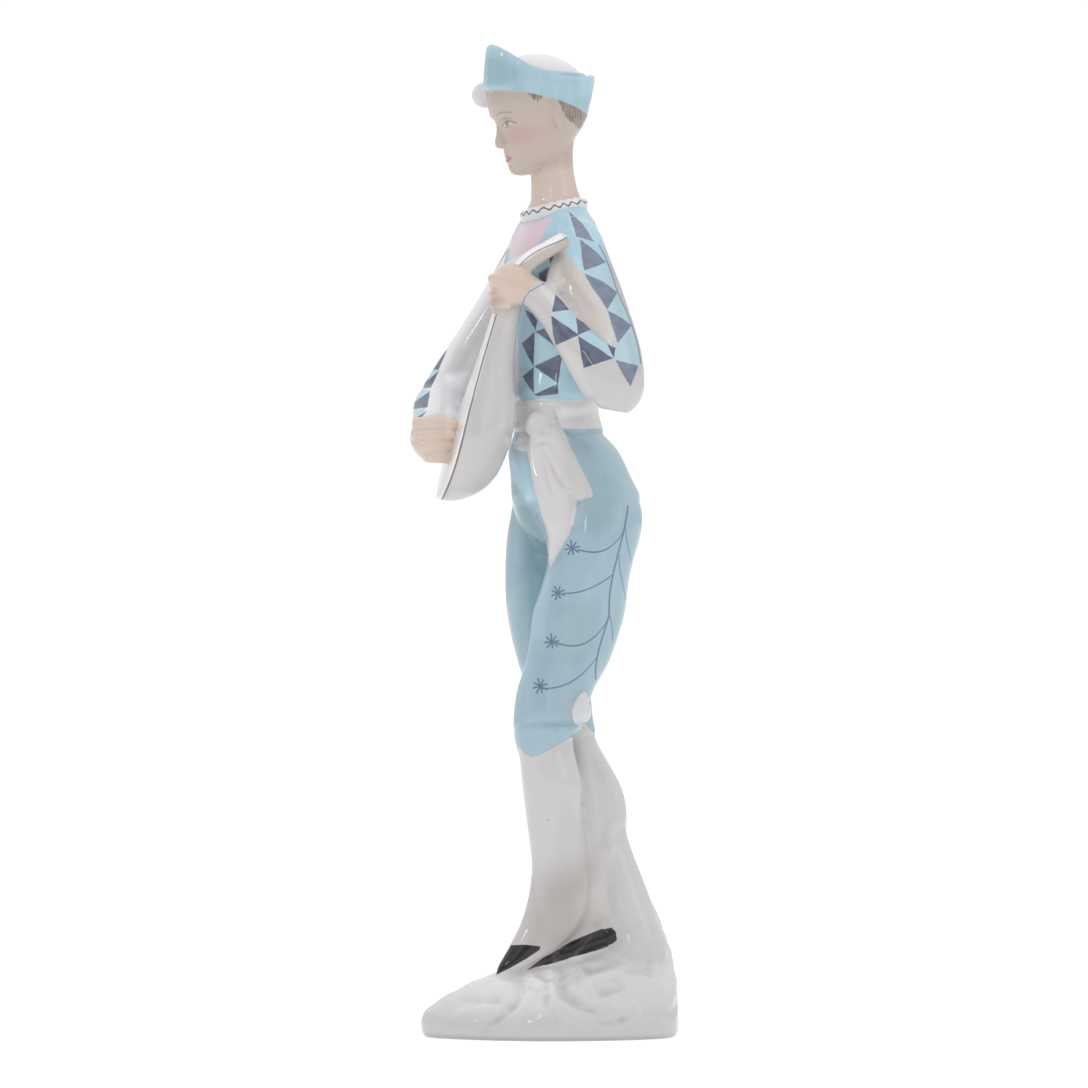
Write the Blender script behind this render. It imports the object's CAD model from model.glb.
import math
from functools import partial

import bpy
import numpy as np
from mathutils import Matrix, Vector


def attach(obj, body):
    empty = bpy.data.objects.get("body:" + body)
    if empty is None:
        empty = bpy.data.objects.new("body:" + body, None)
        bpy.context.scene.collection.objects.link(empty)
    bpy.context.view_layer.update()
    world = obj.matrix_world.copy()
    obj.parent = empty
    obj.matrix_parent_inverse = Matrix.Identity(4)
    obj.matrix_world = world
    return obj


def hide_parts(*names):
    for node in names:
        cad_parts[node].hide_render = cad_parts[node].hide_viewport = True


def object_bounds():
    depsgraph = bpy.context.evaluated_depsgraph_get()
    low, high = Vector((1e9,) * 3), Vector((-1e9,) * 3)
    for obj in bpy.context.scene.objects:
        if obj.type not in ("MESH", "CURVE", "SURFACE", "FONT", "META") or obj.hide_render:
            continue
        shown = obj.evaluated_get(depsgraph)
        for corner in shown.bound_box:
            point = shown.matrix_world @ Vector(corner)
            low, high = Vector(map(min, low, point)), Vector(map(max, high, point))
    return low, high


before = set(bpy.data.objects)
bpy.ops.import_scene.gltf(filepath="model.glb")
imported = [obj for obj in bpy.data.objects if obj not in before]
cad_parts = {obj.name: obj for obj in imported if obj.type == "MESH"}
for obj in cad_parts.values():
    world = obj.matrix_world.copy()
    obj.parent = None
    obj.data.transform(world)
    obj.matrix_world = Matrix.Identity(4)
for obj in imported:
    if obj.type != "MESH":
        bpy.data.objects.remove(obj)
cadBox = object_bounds()
print("frame loaded, box", cadBox)

# Camera: level, in front of the figure, as the photograph was taken
studioView = {"distance": 3.0, "middleX": -0.0019, "middleZ": 0.1589, "widthSeen": 0.3506, "sensor": 36.0}
cameraData = bpy.data.cameras.new("studioCamera")
cameraData.sensor_width = studioView["sensor"]
cameraData.lens = studioView["sensor"] * studioView["distance"] / studioView["widthSeen"]
cameraData.clip_end = 60.0
camera = bpy.data.objects.new("studioCamera", cameraData)
camera.location = (studioView["middleX"], -studioView["distance"], studioView["middleZ"])
camera.rotation_euler = (math.pi / 2, 0.0, 0.0)
bpy.context.collection.objects.link(camera)
bpy.context.scene.camera = camera

# The free form is laid out in shares, 1/928 of the height from toe to hat peak
figure = {"height": 0.299, "moundHeight": 0.021, "shares": 928.0, "toeLevel": 70.0}
share = figure["height"] / figure["shares"]
upward = np.array((0.0, 0.0, 1.0))


def placed(rows):
    # shares to metres: x and y times one share, z counted from the ground under the toe
    rows = np.asarray(rows, float)
    spot = rows[..., :3] * share
    spot[..., 2] = figure["moundHeight"] + (rows[..., 2] - figure["toeLevel"]) * share
    return spot


def unit(v):
    # a direction divided by its own length
    return v / np.maximum(np.linalg.norm(v, axis=-1, keepdims=True), 1e-12)


def rowsBetween(table, steps):
    # a cubic through every column: the slope at a row is half the way from one neighbour to the other
    rows = np.array(table, float)
    last = len(rows) - 1
    run = np.linspace(0, last, last * steps + 1)
    k = np.minimum(run.astype(int), last - 1)
    t = (run - k)[:, None]
    a, b = rows[k], rows[k + 1]
    slopeA = (b - rows[np.maximum(k - 1, 0)]) / 2
    slopeB = (rows[np.minimum(k + 2, last)] - a) / 2
    bend = (2 * a - 2 * b + slopeA + slopeB) * t ** 3
    return bend + (-3 * a + 3 * b - 2 * slopeA - slopeB) * t ** 2 + slopeA * t + a


def bump(x, wide):
    # bell curve: e to the minus (x over its width) squared
    return np.exp(-(x / wide) ** 2)


def step(x, low, high):
    # smooth step from 0 at low to 1 at high: 3 t squared minus 2 t cubed
    t = np.clip((x - low) / (high - low), 0.0, 1.0)
    return t * t * (3 - 2 * t)


def ringSet(centre, across, along, power=2.0, looped=False):
    return {"centre": centre, "across": across, "along": along, "power": power, "looped": looped}


def columnRings(table, steps=6, power=2.0):
    # level ovals: row = x, y, z, half size along x, half size along y, tilt in degrees
    rows = rowsBetween([list(r) + [0.0] * (6 - len(r)) for r in table], steps)
    lean = np.radians(rows[:, 5])
    zero = np.zeros(len(rows))
    across = np.stack((np.cos(lean), zero, np.sin(lean)), 1) * rows[:, 3:4] * share
    along = np.stack((zero, rows[:, 4] * share, zero), 1)
    return ringSet(placed(rows), across, along, power)


def limbRings(table, side=(0, 1, 0), steps=6, power=2.0):
    # ovals square to the path: one half axis on side x way, the other on way x that
    rows = rowsBetween(table, steps)
    centre = placed(rows)
    index = np.arange(len(rows))
    way = unit(centre[np.minimum(index + 1, len(rows) - 1)] - centre[np.maximum(index - 1, 0)])
    across = unit(np.cross(np.broadcast_to(np.array(side, float), way.shape), way))
    along = np.cross(way, across)
    return ringSet(centre, across * rows[:, 3:4] * share, along * rows[:, 4:5] * share, power)


def frameOf(turn, nod):
    # forward, left and up of a body that faces -X, turned towards the viewer and nodding
    turn, nod = math.radians(turn), math.radians(nod)
    level = np.array((-math.cos(turn), -math.sin(turn), 0.0))
    left = np.cross(upward, level)
    forward = level * math.cos(nod) + np.array((0.0, 0.0, -math.sin(nod)))
    return {"forward": forward, "left": left, "up": np.cross(forward, left)}


def framedRings(axes, origin, table, steps=5, power=2.0):
    # ovals stacked along a frame's up: row = up, back and front of the profile, half width
    rows = rowsBetween(table, steps)
    middle = (rows[:, 1:2] + rows[:, 2:3]) / 2 * share
    centre = origin + axes["forward"] * middle + axes["up"] * rows[:, 0:1] * share
    across = axes["forward"] * (rows[:, 2:3] - rows[:, 1:2]) / 2 * share
    along = axes["left"] * rows[:, 3:4] * share
    return ringSet(centre, across, along, power)


def ringGrid(rings, sides):
    # a grid of two parameters: row along the path, angle round the oval, which the power can square up
    angle = np.arange(sides) / sides * 2 * math.pi
    c, s = np.cos(angle), np.sin(angle)
    c = np.sign(c) * np.abs(c) ** (2 / rings["power"])
    s = np.sign(s) * np.abs(s) ** (2 / rings["power"])
    return (rings["centre"][:, None] + rings["across"][:, None] * c[None, :, None]
            + rings["along"][:, None] * s[None, :, None])


parts = {}


def addPart(name, rings, sides=30, grid=None):
    parts[name] = {"rings": rings, "grid": ringGrid(rings, sides) if grid is None else grid}


def ballRings(centre, half, rows=14):
    # circles from pole to pole: radius the cosine of the latitude, height its sine
    lat = np.linspace(-math.pi / 2 + 0.12, math.pi / 2 - 0.12, rows)
    half = np.array(half, float)
    spot = centre + np.outer(np.sin(lat), upward) * half[2]
    across = np.outer(np.cos(lat), (1.0, 0, 0)) * half[0]
    along = np.outer(np.cos(lat), (0, 1.0, 0)) * half[1]
    return ringSet(spot, across, along)


# Trunk with the hem of the jacket
chest = frameOf(40, 0)
trunkShape = {
    "rows": [
        (25, 0, 482, 22, 20), (25, 0, 498, 46, 38), (26, 0, 518, 63, 52), (26.5, 0, 542, 70, 60.5),
        (20.5, 0, 566, 66, 56), (13, 0, 592, 60, 51), (8, 0, 611, 47.5, 40), (6.5, 0, 630, 42.5, 36),
        (4.5, 0, 652, 45, 37), (5, 0, 684, 50, 39), (4, 0, 722, 56, 41), (2, 0, 757, 59, 42),
        (4.5, 0, 784, 59.5, 39.5), (5.5, 0, 803, 55.5, 36), (7, 0, 819, 47, 31.5), (6.5, 0, 831, 35, 28.5),
        (7, 0, 841, 26, 25),
    ],
    "hem": [(640, 0.1), (642.5, 1.1), (647, 1.5), (655, 1.1), (668, 0.2)],
}


def trunkRings(rows, margin=0.0):
    margin = np.asarray(margin, float).reshape(-1, 1)
    across = chest["forward"] * (rows[:, 4:5] * share + margin)
    along = chest["left"] * (rows[:, 3:4] * share + margin)
    return ringSet(placed(rows), across, along)


trunkRows = rowsBetween(trunkShape["rows"], 8)


def trunkAt(height):
    # every column of the trunk's rows read off at a height
    return np.stack([np.interp(height, trunkRows[:, 2], trunkRows[:, c]) for c in range(5)], 1)


addPart("trunk", trunkRings(trunkRows), 60)
hem = rowsBetween(trunkShape["hem"], 5)
addPart("hem", trunkRings(trunkAt(hem[:, 0]), hem[:, 1] / 1000), 60)

# Sash: waist band, knot and two tails
sashShape = {"level": 625, "height": 9.4, "proud": 1.3}
bandRows = rowsBetween([
    (-1, 0.05), (-0.85, 0.8), (-0.4, 1), (0.1, 0.9), (0.5, 1), (0.9, 0.8), (1, 0.05)], 4)
bandHeight = sashShape["level"] + bandRows[:, 0] * sashShape["height"] / 2000 / share
addPart("sashBand", trunkRings(trunkAt(bandHeight), bandRows[:, 1] * sashShape["proud"] / 1000), 60)
addPart("knot", ballRings(placed((-10, -38.5, 616)), np.array((15, 8, 16)) * share), 28)
addPart("longTail", limbRings([
    (-6, -42, 612, 12, 6), (-7, -48, 594, 15.5, 5.5), (-1, -56, 565, 19, 6), (4, -61, 542, 19.5, 6),
    (5, -62, 518, 15.5, 6.5), (4, -60, 500, 9, 6), (2, -56, 482, 3, 4)]), 28)
addPart("shortTail", limbRings([
    (0, -43, 612, 10, 6), (9, -53, 594, 12, 5.5), (19, -61, 572, 12.5, 5.5), (27, -66, 555, 10, 5),
    (34, -68, 545, 5, 4)]), 28)

# Collar: a frilled roll round the root of the neck, rising towards the back
collarShape = {"middle": (4, 0, 832), "tilt": 12, "length": 22.6, "roll": 3.7, "waves": 19}
collarTilt = math.radians(collarShape["tilt"])
collarMiddle = placed(collarShape["middle"])
collarAxes = {
    "forward": np.array((math.cos(collarTilt), 0, math.sin(collarTilt))),
    "left": np.array((0.0, 1.0, 0.0)),
    "up": np.array((-math.sin(collarTilt), 0, math.cos(collarTilt))),
}
turnRound = np.linspace(0, 2 * math.pi, 180, endpoint=False)
collarOut = (np.outer(np.cos(turnRound), collarAxes["forward"])
             + np.outer(np.sin(turnRound) * 0.94, collarAxes["left"]))
frill = np.cos(collarShape["waves"] * turnRound)[:, None]
collarCentre = (collarMiddle
                + collarOut * (collarShape["length"] - collarShape["roll"]) / 2000 * (1 + 0.015 * frill)
                + collarAxes["up"] * 0.00018 * frill)
addPart("collar", ringSet(
    collarCentre, collarOut * collarShape["roll"] * 0.0005,
    np.broadcast_to(collarAxes["up"], collarOut.shape) * collarShape["roll"] / 2000, 2.3, True), 18)

# Head: an even oval; nose, ears and neck are joined on, the features are worked in later
headAxes = frameOf(22, 17)
headMiddle = placed((-11, -5, 926))
headShape = [
    (-53, 20, 33, 8), (-49, 8, 41, 16), (-41, -12, 44.5, 24), (-29, -32, 44.5, 30), (-15, -47, 44.5, 34),
    (0, -54.5, 45, 37), (15, -55, 48, 38.5), (30, -48, 46, 37), (43, -37, 37, 30), (52, -21, 22, 19),
    (56, -6, 7, 6),
]
addPart("cranium", framedRings(headAxes, headMiddle, headShape, 5, 2.15), 54)
addPart("nose", framedRings(headAxes, headMiddle, [
    (12, 32, 44.5, 2.2), (4, 33, 46.5, 2.6), (-5, 35, 50, 3.3), (-13, 38, 53.5, 4.6), (-18, 40, 53, 5.2),
    (-21, 40, 47, 3.4)], 5), 20)
for side in (1, -1):
    earRows = rowsBetween([
        (-17, 1.5, 2), (-12, 2.8, 3.6), (-5, 3.8, 4.8), (3, 4.2, 6.4), (9, 3.2, 5), (12, 1.4, 2)], 4)
    earCentre = (headMiddle + headAxes["forward"] * (-5 - earRows[:, 0:1] * 0.15) * share
                 + headAxes["left"] * side * 38.5 * share + headAxes["up"] * earRows[:, 0:1] * share)
    addPart("ear" + ("Left" if side > 0 else "Right"), ringSet(
        earCentre, headAxes["forward"] * earRows[:, 2:3] * share,
        headAxes["left"] * earRows[:, 1:2] * share), 18)
addPart("neck", columnRings([
    (6, 0, 818, 30, 29), (6.3, 0, 838, 26, 25.5), (3.8, -1, 857, 22.8, 22.5), (2, -2, 878, 21.5, 21.5),
    (2, -2, 898, 22, 22), (5, -3, 918, 24, 23)]), 40)

# Hat: white crown in a turned-up brim, high and pointed in front
hatShape = {
    "length": 36.0, "width": 25.6, "thick": 1.9, "tuft": 8.6, "crownHalf": 0.445, "crownFoot": 0.465,
    "crownBack": 5.5, "crownLow": 14, "crownTall": 37.5,
}
hatAxes = frameOf(22, -14)
hatMiddle = placed((-15.5, -6, 938))


def onHat(forward, left, up):
    # a point in the hat's frame, metres
    return (hatMiddle + np.asarray(forward)[..., None] * hatAxes["forward"]
            + np.asarray(left)[..., None] * hatAxes["left"] + np.asarray(up)[..., None] * hatAxes["up"])


brimTurn = np.linspace(0, 2 * math.pi, 150, endpoint=False)
brimFront, brimBack = np.maximum(np.cos(brimTurn), 0), np.maximum(-np.cos(brimTurn), 0)
brimFlap = step(brimTurn, math.radians(62), math.radians(96)) * step(
    -brimTurn, math.radians(-134), math.radians(-124))
brimTall = (28 + 18.5 * brimFront ** 1.9 + 16.5 * brimBack ** 1.2
            + 5.5 * brimFlap * (1 - 0.6 * brimBack)) * share
brimFlare = (2.5 + 4 * brimFront - 3.5 * brimBack) * share
brimPinch = 1 - 0.08 * brimFront ** 1.5
brimArch = 4.4 * share * np.sin(brimTurn) ** 2
# section: up the outer face (rise 0 to 1), over a round lip and down the inner face
sectionRise = np.concatenate((np.linspace(0, 0.94, 9), [0.985, 1.0, 0.985], np.linspace(0.93, 0, 7)))
sectionIn = np.concatenate((np.zeros(9), [0.2, 0.5, 0.8], np.linspace(1, 1.5, 7)))
brimSpread = (brimFlare[:, None] * np.clip(sectionRise, 0, 1)[None, :] ** 1.3
              + 0.0003 * np.sin(sectionRise * math.pi)
              - sectionIn[None, :] * hatShape["thick"] / 1000)
brimGrid = onHat(
    np.cos(brimTurn)[:, None] * (hatShape["length"] / 2000 + brimSpread),
    np.sin(brimTurn)[:, None] * (hatShape["width"] / 2000 * brimPinch[:, None] + brimSpread),
    brimArch[:, None] + (brimTall - brimArch)[:, None] * sectionRise[None, :])
brimAlong = unit(np.cos(brimTurn)[:, None] * hatAxes["forward"]
                 + np.sin(brimTurn)[:, None] * hatAxes["left"])
addPart("brim", ringSet(
    brimGrid.mean(1), hatAxes["up"] * brimTall[:, None] / 2, brimAlong * hatShape["thick"] / 2000,
    4.0, True), grid=brimGrid)
domeRise = np.sin(np.linspace(0, math.pi / 2 - 0.06, 12))
domeSize = np.concatenate(([hatShape["crownFoot"]], hatShape["crownHalf"] * np.sqrt(1 - domeRise ** 2)))
domeLift = np.concatenate(([1], hatShape["crownLow"] + hatShape["crownTall"] * domeRise)) * share
addPart("crown", ringSet(
    onHat(np.full(13, -hatShape["crownBack"] * share), np.zeros(13), domeLift),
    hatAxes["forward"] * (domeSize * hatShape["length"] / 1000)[:, None],
    hatAxes["left"] * (domeSize * hatShape["width"] / 1000)[:, None]), 48)
tuftMiddle = onHat(np.array(hatShape["length"] * 0.00037), np.array(-33 * share), np.array(-0.5 * share))
addPart("tuft", ballRings(tuftMiddle, np.full(3, hatShape["tuft"] / 2000)), 30)

# Near arm: upper sleeve, fore sleeve, and the hand at the neck of the lute
addPart("nearUpper", limbRings([
    (22, -22, 814, 11, 14), (27.5, -36, 803, 22, 22), (32, -46, 785, 25.5, 25), (38, -57, 755, 30.5, 25),
    (50, -67, 722, 30, 25), (61, -76, 687, 29.5, 26), (65, -80, 658, 29, 26), (64.5, -80, 642, 25, 22),
    (62.5, -80, 630, 15, 14)]), 40)
addPart("nearFore", limbRings([
    (68, -80, 648, 14, 14), (58, -80, 660, 28, 25), (38, -78, 685, 25, 23), (20, -73, 707, 20, 20),
    (4, -68, 728, 17, 17), (-12, -62, 744.5, 15.5, 15), (-19, -60, 750, 13, 12)]), 36)
addPart("nearWeb", limbRings([
    (21, -42, 798, 8, 11), (19, -46, 786, 11.5, 14), (15, -50, 772, 14, 15), (11.5, -54, 760, 15, 15),
    (9, -57, 750, 13, 14), (8, -58, 743, 8, 8)]), 28)
addPart("nearPalm", limbRings([
    (-14, -60, 747, 13, 10), (-24, -61, 751, 17, 12), (-35, -62, 754, 21, 13), (-45, -59, 755, 21, 12),
    (-52, -54, 755, 16, 9)]), 28)
for n, back in enumerate((-4, 0.5, 2, 1)):
    z = 767 - 10.2 * n
    addPart("nearFinger%d" % n, limbRings([
        (-38, -66, z, 6, 6), (-49 - back, -62, z, 6.4, 6.4), (-54 - back, -51, z - 0.5, 6, 6),
        (-51 - back, -40, z - 1, 4.5, 4.5)], (0, 0, 1)), 18)
addPart("nearThumb", limbRings([
    (-36, -66, 758, 7, 7), (-47, -68, 760, 7, 7), (-56, -66, 761.5, 6, 6), (-61, -63, 762, 3.5, 3.5)],
    (0, 0, 1)), 18)

# Far arm and the hand on the strings
addPart("farUpper", limbRings([
    (-14, 20, 812, 10, 12), (-22, 30, 794, 19.5, 21), (-30, 38, 770, 24, 24), (-48, 45, 736, 25, 24),
    (-72, 52, 696, 26, 24.5), (-94, 55, 662, 26.5, 25), (-105, 55, 643, 26.5, 25),
    (-114, 54, 627, 19, 17)]), 40)
addPart("farFore", limbRings([
    (-106, 66, 641, 14, 14), (-109, 54, 638, 24.5, 24), (-112, 36, 632, 26, 26), (-116, 8, 621, 22, 21),
    (-118, -9, 613, 20, 19), (-118, -12, 611, 15, 15)], (0, 0, 1)), 36)
addPart("farPalm", limbRings([
    (-117, -2, 612, 13, 13), (-119, -14, 608, 18, 18), (-122, -28, 604, 18, 21), (-121, -40, 602, 15, 20),
    (-117, -47, 602, 9, 14)], (0, 0, 1)), 28)
for n, tuck in enumerate((1, 0, 2, 11)):
    z = 619 - 11 * n
    addPart("farFinger%d" % n, limbRings([
        (-131 + tuck, -32, z, 6, 6), (-132 + tuck, -44, z - 1, 6.8, 6.8),
        (-120 + tuck / 2, -51, z - 1, 7, 7), (-103, -49, z - 1.5, 6.6, 6.6),
        (-93, -42, z - 2, 4, 4)], (0, 0, 1)), 18)

# Lute: flat belly, round bowl, short neck and a peg box bent back
luteShape = {"length": 79, "width": 30, "bowl": 17, "pegLength": 19, "pegWidth": 5.6, "pegThick": 5.4}
luteTail = placed((-113, -24, 543))
luteAxis = unit(placed((-41, -55, 774)) - luteTail)
luteFace = np.array((-1, -0.09, 0.0))
luteFace = unit(luteFace - luteAxis * (luteFace @ luteAxis))
luteAcross = unit(np.cross(luteAxis, luteFace))
luteRows = rowsBetween([
    (0, 0.06, 0.08), (0.012, 0.34, 0.32), (0.04, 0.6, 0.54), (0.09, 0.83, 0.79), (0.16, 0.97, 0.955),
    (0.24, 1, 1.01), (0.33, 0.93, 1.02), (0.43, 0.78, 0.945), (0.54, 0.57, 0.78), (0.65, 0.37, 0.62),
    (0.76, 0.23, 0.52), (0.87, 0.19, 0.45), (1, 0.18, 0.26)], 6)
luteCentre = luteTail + luteAxis * luteRows[:, 0:1] * luteShape["length"] / 1000
luteTurn = np.arange(48) / 48 * 2 * math.pi
luteRound = np.sin(luteTurn)[None, :]
luteBack = np.where(luteRound > 0, luteRound * luteRows[:, 2:3] * luteShape["bowl"], luteRound * 0.5) / 1000
luteGrid = (luteCentre[:, None] + luteAcross * (np.cos(luteTurn)[None, :] * luteRows[:, 1:2])[..., None]
            * luteShape["width"] / 2000 - luteFace * luteBack[..., None])
luteDeep = luteRows[:, 2:3] * luteShape["bowl"] / 1000
addPart("lute", ringSet(luteCentre - luteFace * luteDeep * 0.46,
                        luteAcross * luteRows[:, 1:2] * luteShape["width"] / 2000,
                        -luteFace * luteDeep * 0.54), grid=luteGrid)
pegWay = unit(np.array((51, -9, 29.0)))
pegThin = unit(np.cross(pegWay, luteAcross))
pegWide = np.cross(pegThin, pegWay)
pegRows = rowsBetween([(-0.12, 0.8), (0, 1.25), (0.3, 1.1), (0.6, 1.0), (0.95, 0.92), (1, 0.8)], 6)
pegCentre = (luteTail + luteAxis * luteShape["length"] / 1000 - luteFace * 0.0016
             + pegWay * pegRows[:, 0:1] * luteShape["pegLength"] / 1000
             + np.array((0.49, 0, -0.87)) * 0.0006
             + pegThin * (pegRows[:, 1:2] - 1) * luteShape["pegThick"] / 2000)
addPart("pegBox", ringSet(pegCentre, pegThin * pegRows[:, 1:2] * luteShape["pegThick"] / 2000,
                          pegWide * pegRows[:, 1:2] * luteShape["pegWidth"] / 2000, 4.0), 28)

# Legs: loose breeches, stockings and low shoes
addPart("nearBreeches", columnRings([
    (24, -14, 586, 34, 30, 0), (36, -22, 560, 43, 39, 0), (44.5, -28, 533, 47.3, 42, 0),
    (43.5, -30, 507, 47, 43.5, 0), (40, -31, 480, 43, 43, 0), (34.5, -31, 455, 43.5, 42.5, 0),
    (29, -31, 430, 46, 41.5, 0), (24, -30, 405, 44, 39.5, 0), (17, -29, 379, 41.5, 37.5, 0),
    (6, -28, 354, 38.5, 35.5, 0), (1, -28, 332, 37.5, 34.5, 6), (0, -28, 314, 37, 33.5, 18),
    (1.5, -28, 301, 35.5, 32.5, 28), (2, -28, 296, 31, 28, 29)]), 56)
addPart("nearStocking", columnRings([
    (0, -27, 325, 24, 24), (-3.5, -27, 300, 26.5, 26), (-1.5, -27, 280, 28.5, 27.5),
    (2, -27, 260, 30, 28.5), (3, -26, 239, 28.8, 27.5), (5, -25, 216, 28, 25), (7.6, -23.5, 196, 28, 23),
    (9.8, -22.5, 179, 28.6, 21.5), (10.2, -21.5, 163, 29.8, 20.5), (9, -20.5, 147, 31, 19.5),
    (5.5, -19.5, 131, 31.5, 18.5), (-1, -19.5, 116, 30.5, 17.5), (-11.5, -20, 101, 27.5, 16.5),
    (-25, -21, 87, 21.5, 15), (-39.5, -22, 75, 14, 12.5), (-46, -22, 66, 8.5, 8)]), 48)
addPart("farBreeches", columnRings([
    (10, 14, 580, 30, 30), (3, 23, 555, 37, 36), (0, 28, 530, 39, 39.5), (-3, 30, 502, 40.5, 40.5),
    (-4, 31, 470, 41, 41), (-3, 31, 438, 41, 40), (-0.5, 30, 410, 39.5, 38), (4, 29, 382, 37, 35.5),
    (8, 28, 354, 33, 32), (12, 27, 326, 31, 30.5), (17, 27, 310, 29, 29), (19, 27, 304, 25, 25)]), 56)
addPart("farStocking", columnRings([
    (14, 27, 328, 22, 22), (22, 26, 298, 26, 26), (32, 24, 277, 28, 29), (43, 22, 252, 30, 32),
    (48, 20, 228, 29.5, 33), (48.5, 19, 204, 28, 32), (49, 18, 180, 27, 30), (47, 18, 156, 26, 28),
    (45, 18, 134, 25, 24), (44, 18, 114, 22, 19), (42, 19, 98, 17, 14)]), 48)
addPart("farShoe", limbRings([
    (66, 8, 106, 5, 6), (60, 3, 106, 11, 14), (42, 0, 101, 12.5, 16.5), (20, -4, 91, 11.5, 16.5),
    (-2, -7, 82, 9, 14.5), (-18, -10, 76, 6.5, 9.5), (-25, -12, 73, 3.5, 4)]), 30)
addPart("footWeb", limbRings([
    (-46, -16, 66, 7, 10), (-30, -12, 76, 10, 13), (-8, -6, 90, 13, 14), (14, 0, 106, 16, 15),
    (28, 0, 126, 22, 18), (36, -1, 150, 25, 19), (37, -1, 178, 26, 19), (37, 0, 206, 25, 19),
    (36, 1, 236, 22, 18), (33, 4, 264, 18, 16), (28, 10, 292, 12, 12), (22, 18, 316, 8, 8)], (0, 1, 0)), 32)
addPart("heelWeb", limbRings([
    (54, 18, 226, 15, 13), (58, 15, 205, 19, 19), (64, 12, 180, 21.5, 22), (72, 10, 150, 25, 25),
    (80, 6, 118, 28, 26), (88, 2, 88, 30, 25), (92, 0, 66, 24, 18)]), 32)
addPart("heelFill", limbRings([
    (46, 4, 176, 10, 10), (50, 2, 156, 15, 15), (55, 1, 136, 16, 15), (60, 1, 118, 14, 13),
    (64, 3, 104, 8, 8)]), 24)
kneeTuft = {"size": 5.6, "middle": (31.5, -49, 330)}
tuftRows = rowsBetween([
    (-0.66, 0.1), (-0.5, 0.42), (-0.05, 0.6), (0.42, 0.56), (0.82, 0.38), (1.15, 0.16), (1.35, 0.04)], 5)
tuftRows = tuftRows * kneeTuft["size"] / 1000
addPart("kneeTuft", ringSet(
    placed(kneeTuft["middle"]) + np.outer(tuftRows[:, 0], upward), np.outer(tuftRows[:, 1], (1.0, 0, 0)),
    np.outer(tuftRows[:, 1], (0, 1.0, 0))), 24)

# Mound: level contours up to the ridge behind the far leg
moundShape = {"length": 82.8, "depth": 57.0, "inset": 1.2, "rows": [
    (0, -0.5, 0.5, -0.5, 0.5), (8, -0.5, 0.5, -0.5, 0.5), (20, -0.502, 0.5, -0.5, 0.5),
    (34, -0.468, 0.499, -0.485, 0.49), (48, -0.385, 0.497, -0.44, 0.47), (60, -0.297, 0.495, -0.36, 0.445),
    (71, -0.2, 0.491, -0.25, 0.42), (82, -0.09, 0.481, -0.13, 0.405), (96, 0.02, 0.464, -0.04, 0.39),
    (116, 0.08, 0.44, -0.01, 0.36), (142, 0.12, 0.396, 0.02, 0.325), (168, 0.15, 0.338, 0.06, 0.275),
    (187, 0.185, 0.3, 0.08, 0.235), (200, 0.22, 0.262, 0.1, 0.18)]}
moundRows = rowsBetween(moundShape["rows"], 6)
rise = moundRows[:, 0]
moundZ = (np.minimum(rise / figure["toeLevel"], 1) * figure["moundHeight"]
          + np.maximum(rise - figure["toeLevel"], 0) * share)
inset = moundShape["inset"] / 1000 * (1 - step(rise, 0, 6))
halfX = (moundRows[:, 2] - moundRows[:, 1]) / 2 * moundShape["length"] / 1000 - inset
halfY = (moundRows[:, 4] - moundRows[:, 3]) / 2 * moundShape["depth"] / 1000 - inset
moundCentre = np.stack(((moundRows[:, 2] + moundRows[:, 1]) / 2 * moundShape["length"] / 1000,
                        (moundRows[:, 4] + moundRows[:, 3]) / 2 * moundShape["depth"] / 1000, moundZ), 1)
moundTurn = np.arange(96) / 96 * 2 * math.pi
noseNarrow = 1 - 0.26 * np.maximum(-np.cos(moundTurn), 0) ** 2
moundGrid = np.stack((
    moundCentre[:, None, 0] + np.cos(moundTurn)[None] * halfX[:, None],
    moundCentre[:, None, 1] + np.sin(moundTurn)[None] * halfY[:, None] * noseNarrow[None],
    np.broadcast_to(moundZ[:, None], (len(moundZ), 96))), 2)
addPart("mound", ringSet(moundCentre, np.outer(halfX, (1.0, 0, 0)), np.outer(halfY, (0, 1.0, 0))),
        grid=moundGrid)
print("forms laid out:", len(parts))


# One casting: all forms in one mesh, fused by a voxel remesh
castingMesh = {
    "voxel": 0.00045, "rounds": 12, "moreRounds": 44, "pull": 0.5, "detailKept": 0.72, "triangles": 196000,
}


def joinedMesh(name, shapes):
    # the grids one after another; each has quads between its rows and a fan on each end that isn't looped
    points, quads, fans, start = [], [], [], 0
    for shape in shapes:
        grid, looped = shape["grid"], shape["rings"]["looped"]
        rows, sides = grid.shape[:2]
        points.append(grid.reshape(-1, 3))
        r = np.arange(rows if looped else rows - 1)[:, None]
        i = np.arange(sides)[None, :]
        nextRow, nextSide = (r + 1) % rows, (i + 1) % sides
        quad = np.stack((
            r * sides + i, r * sides + nextSide, nextRow * sides + nextSide, nextRow * sides + i), 2)
        quads.append(quad.reshape(-1, 4) + start)
        start += rows * sides
        if not looped:
            points.append(grid[[0, -1]].mean(1))
            i = np.arange(sides)
            j = (i + 1) % sides
            first, last = start - rows * sides, start - sides
            fans.append(np.stack((first + j, first + i, np.full(sides, start)), 1))
            fans.append(np.stack((last + i, last + j, np.full(sides, start + 1)), 1))
            start += 2
    mesh = bpy.data.meshes.new(name)
    faces = np.concatenate(quads).tolist() + np.concatenate(fans).tolist()
    mesh.from_pydata(np.concatenate(points).tolist(), [], faces)
    mesh.update()
    return mesh


def evaluated(obj):
    # the object's mesh with its modifiers applied
    bpy.context.view_layer.update()
    return bpy.data.meshes.new_from_object(obj.evaluated_get(bpy.context.evaluated_depsgraph_get()))


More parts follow.
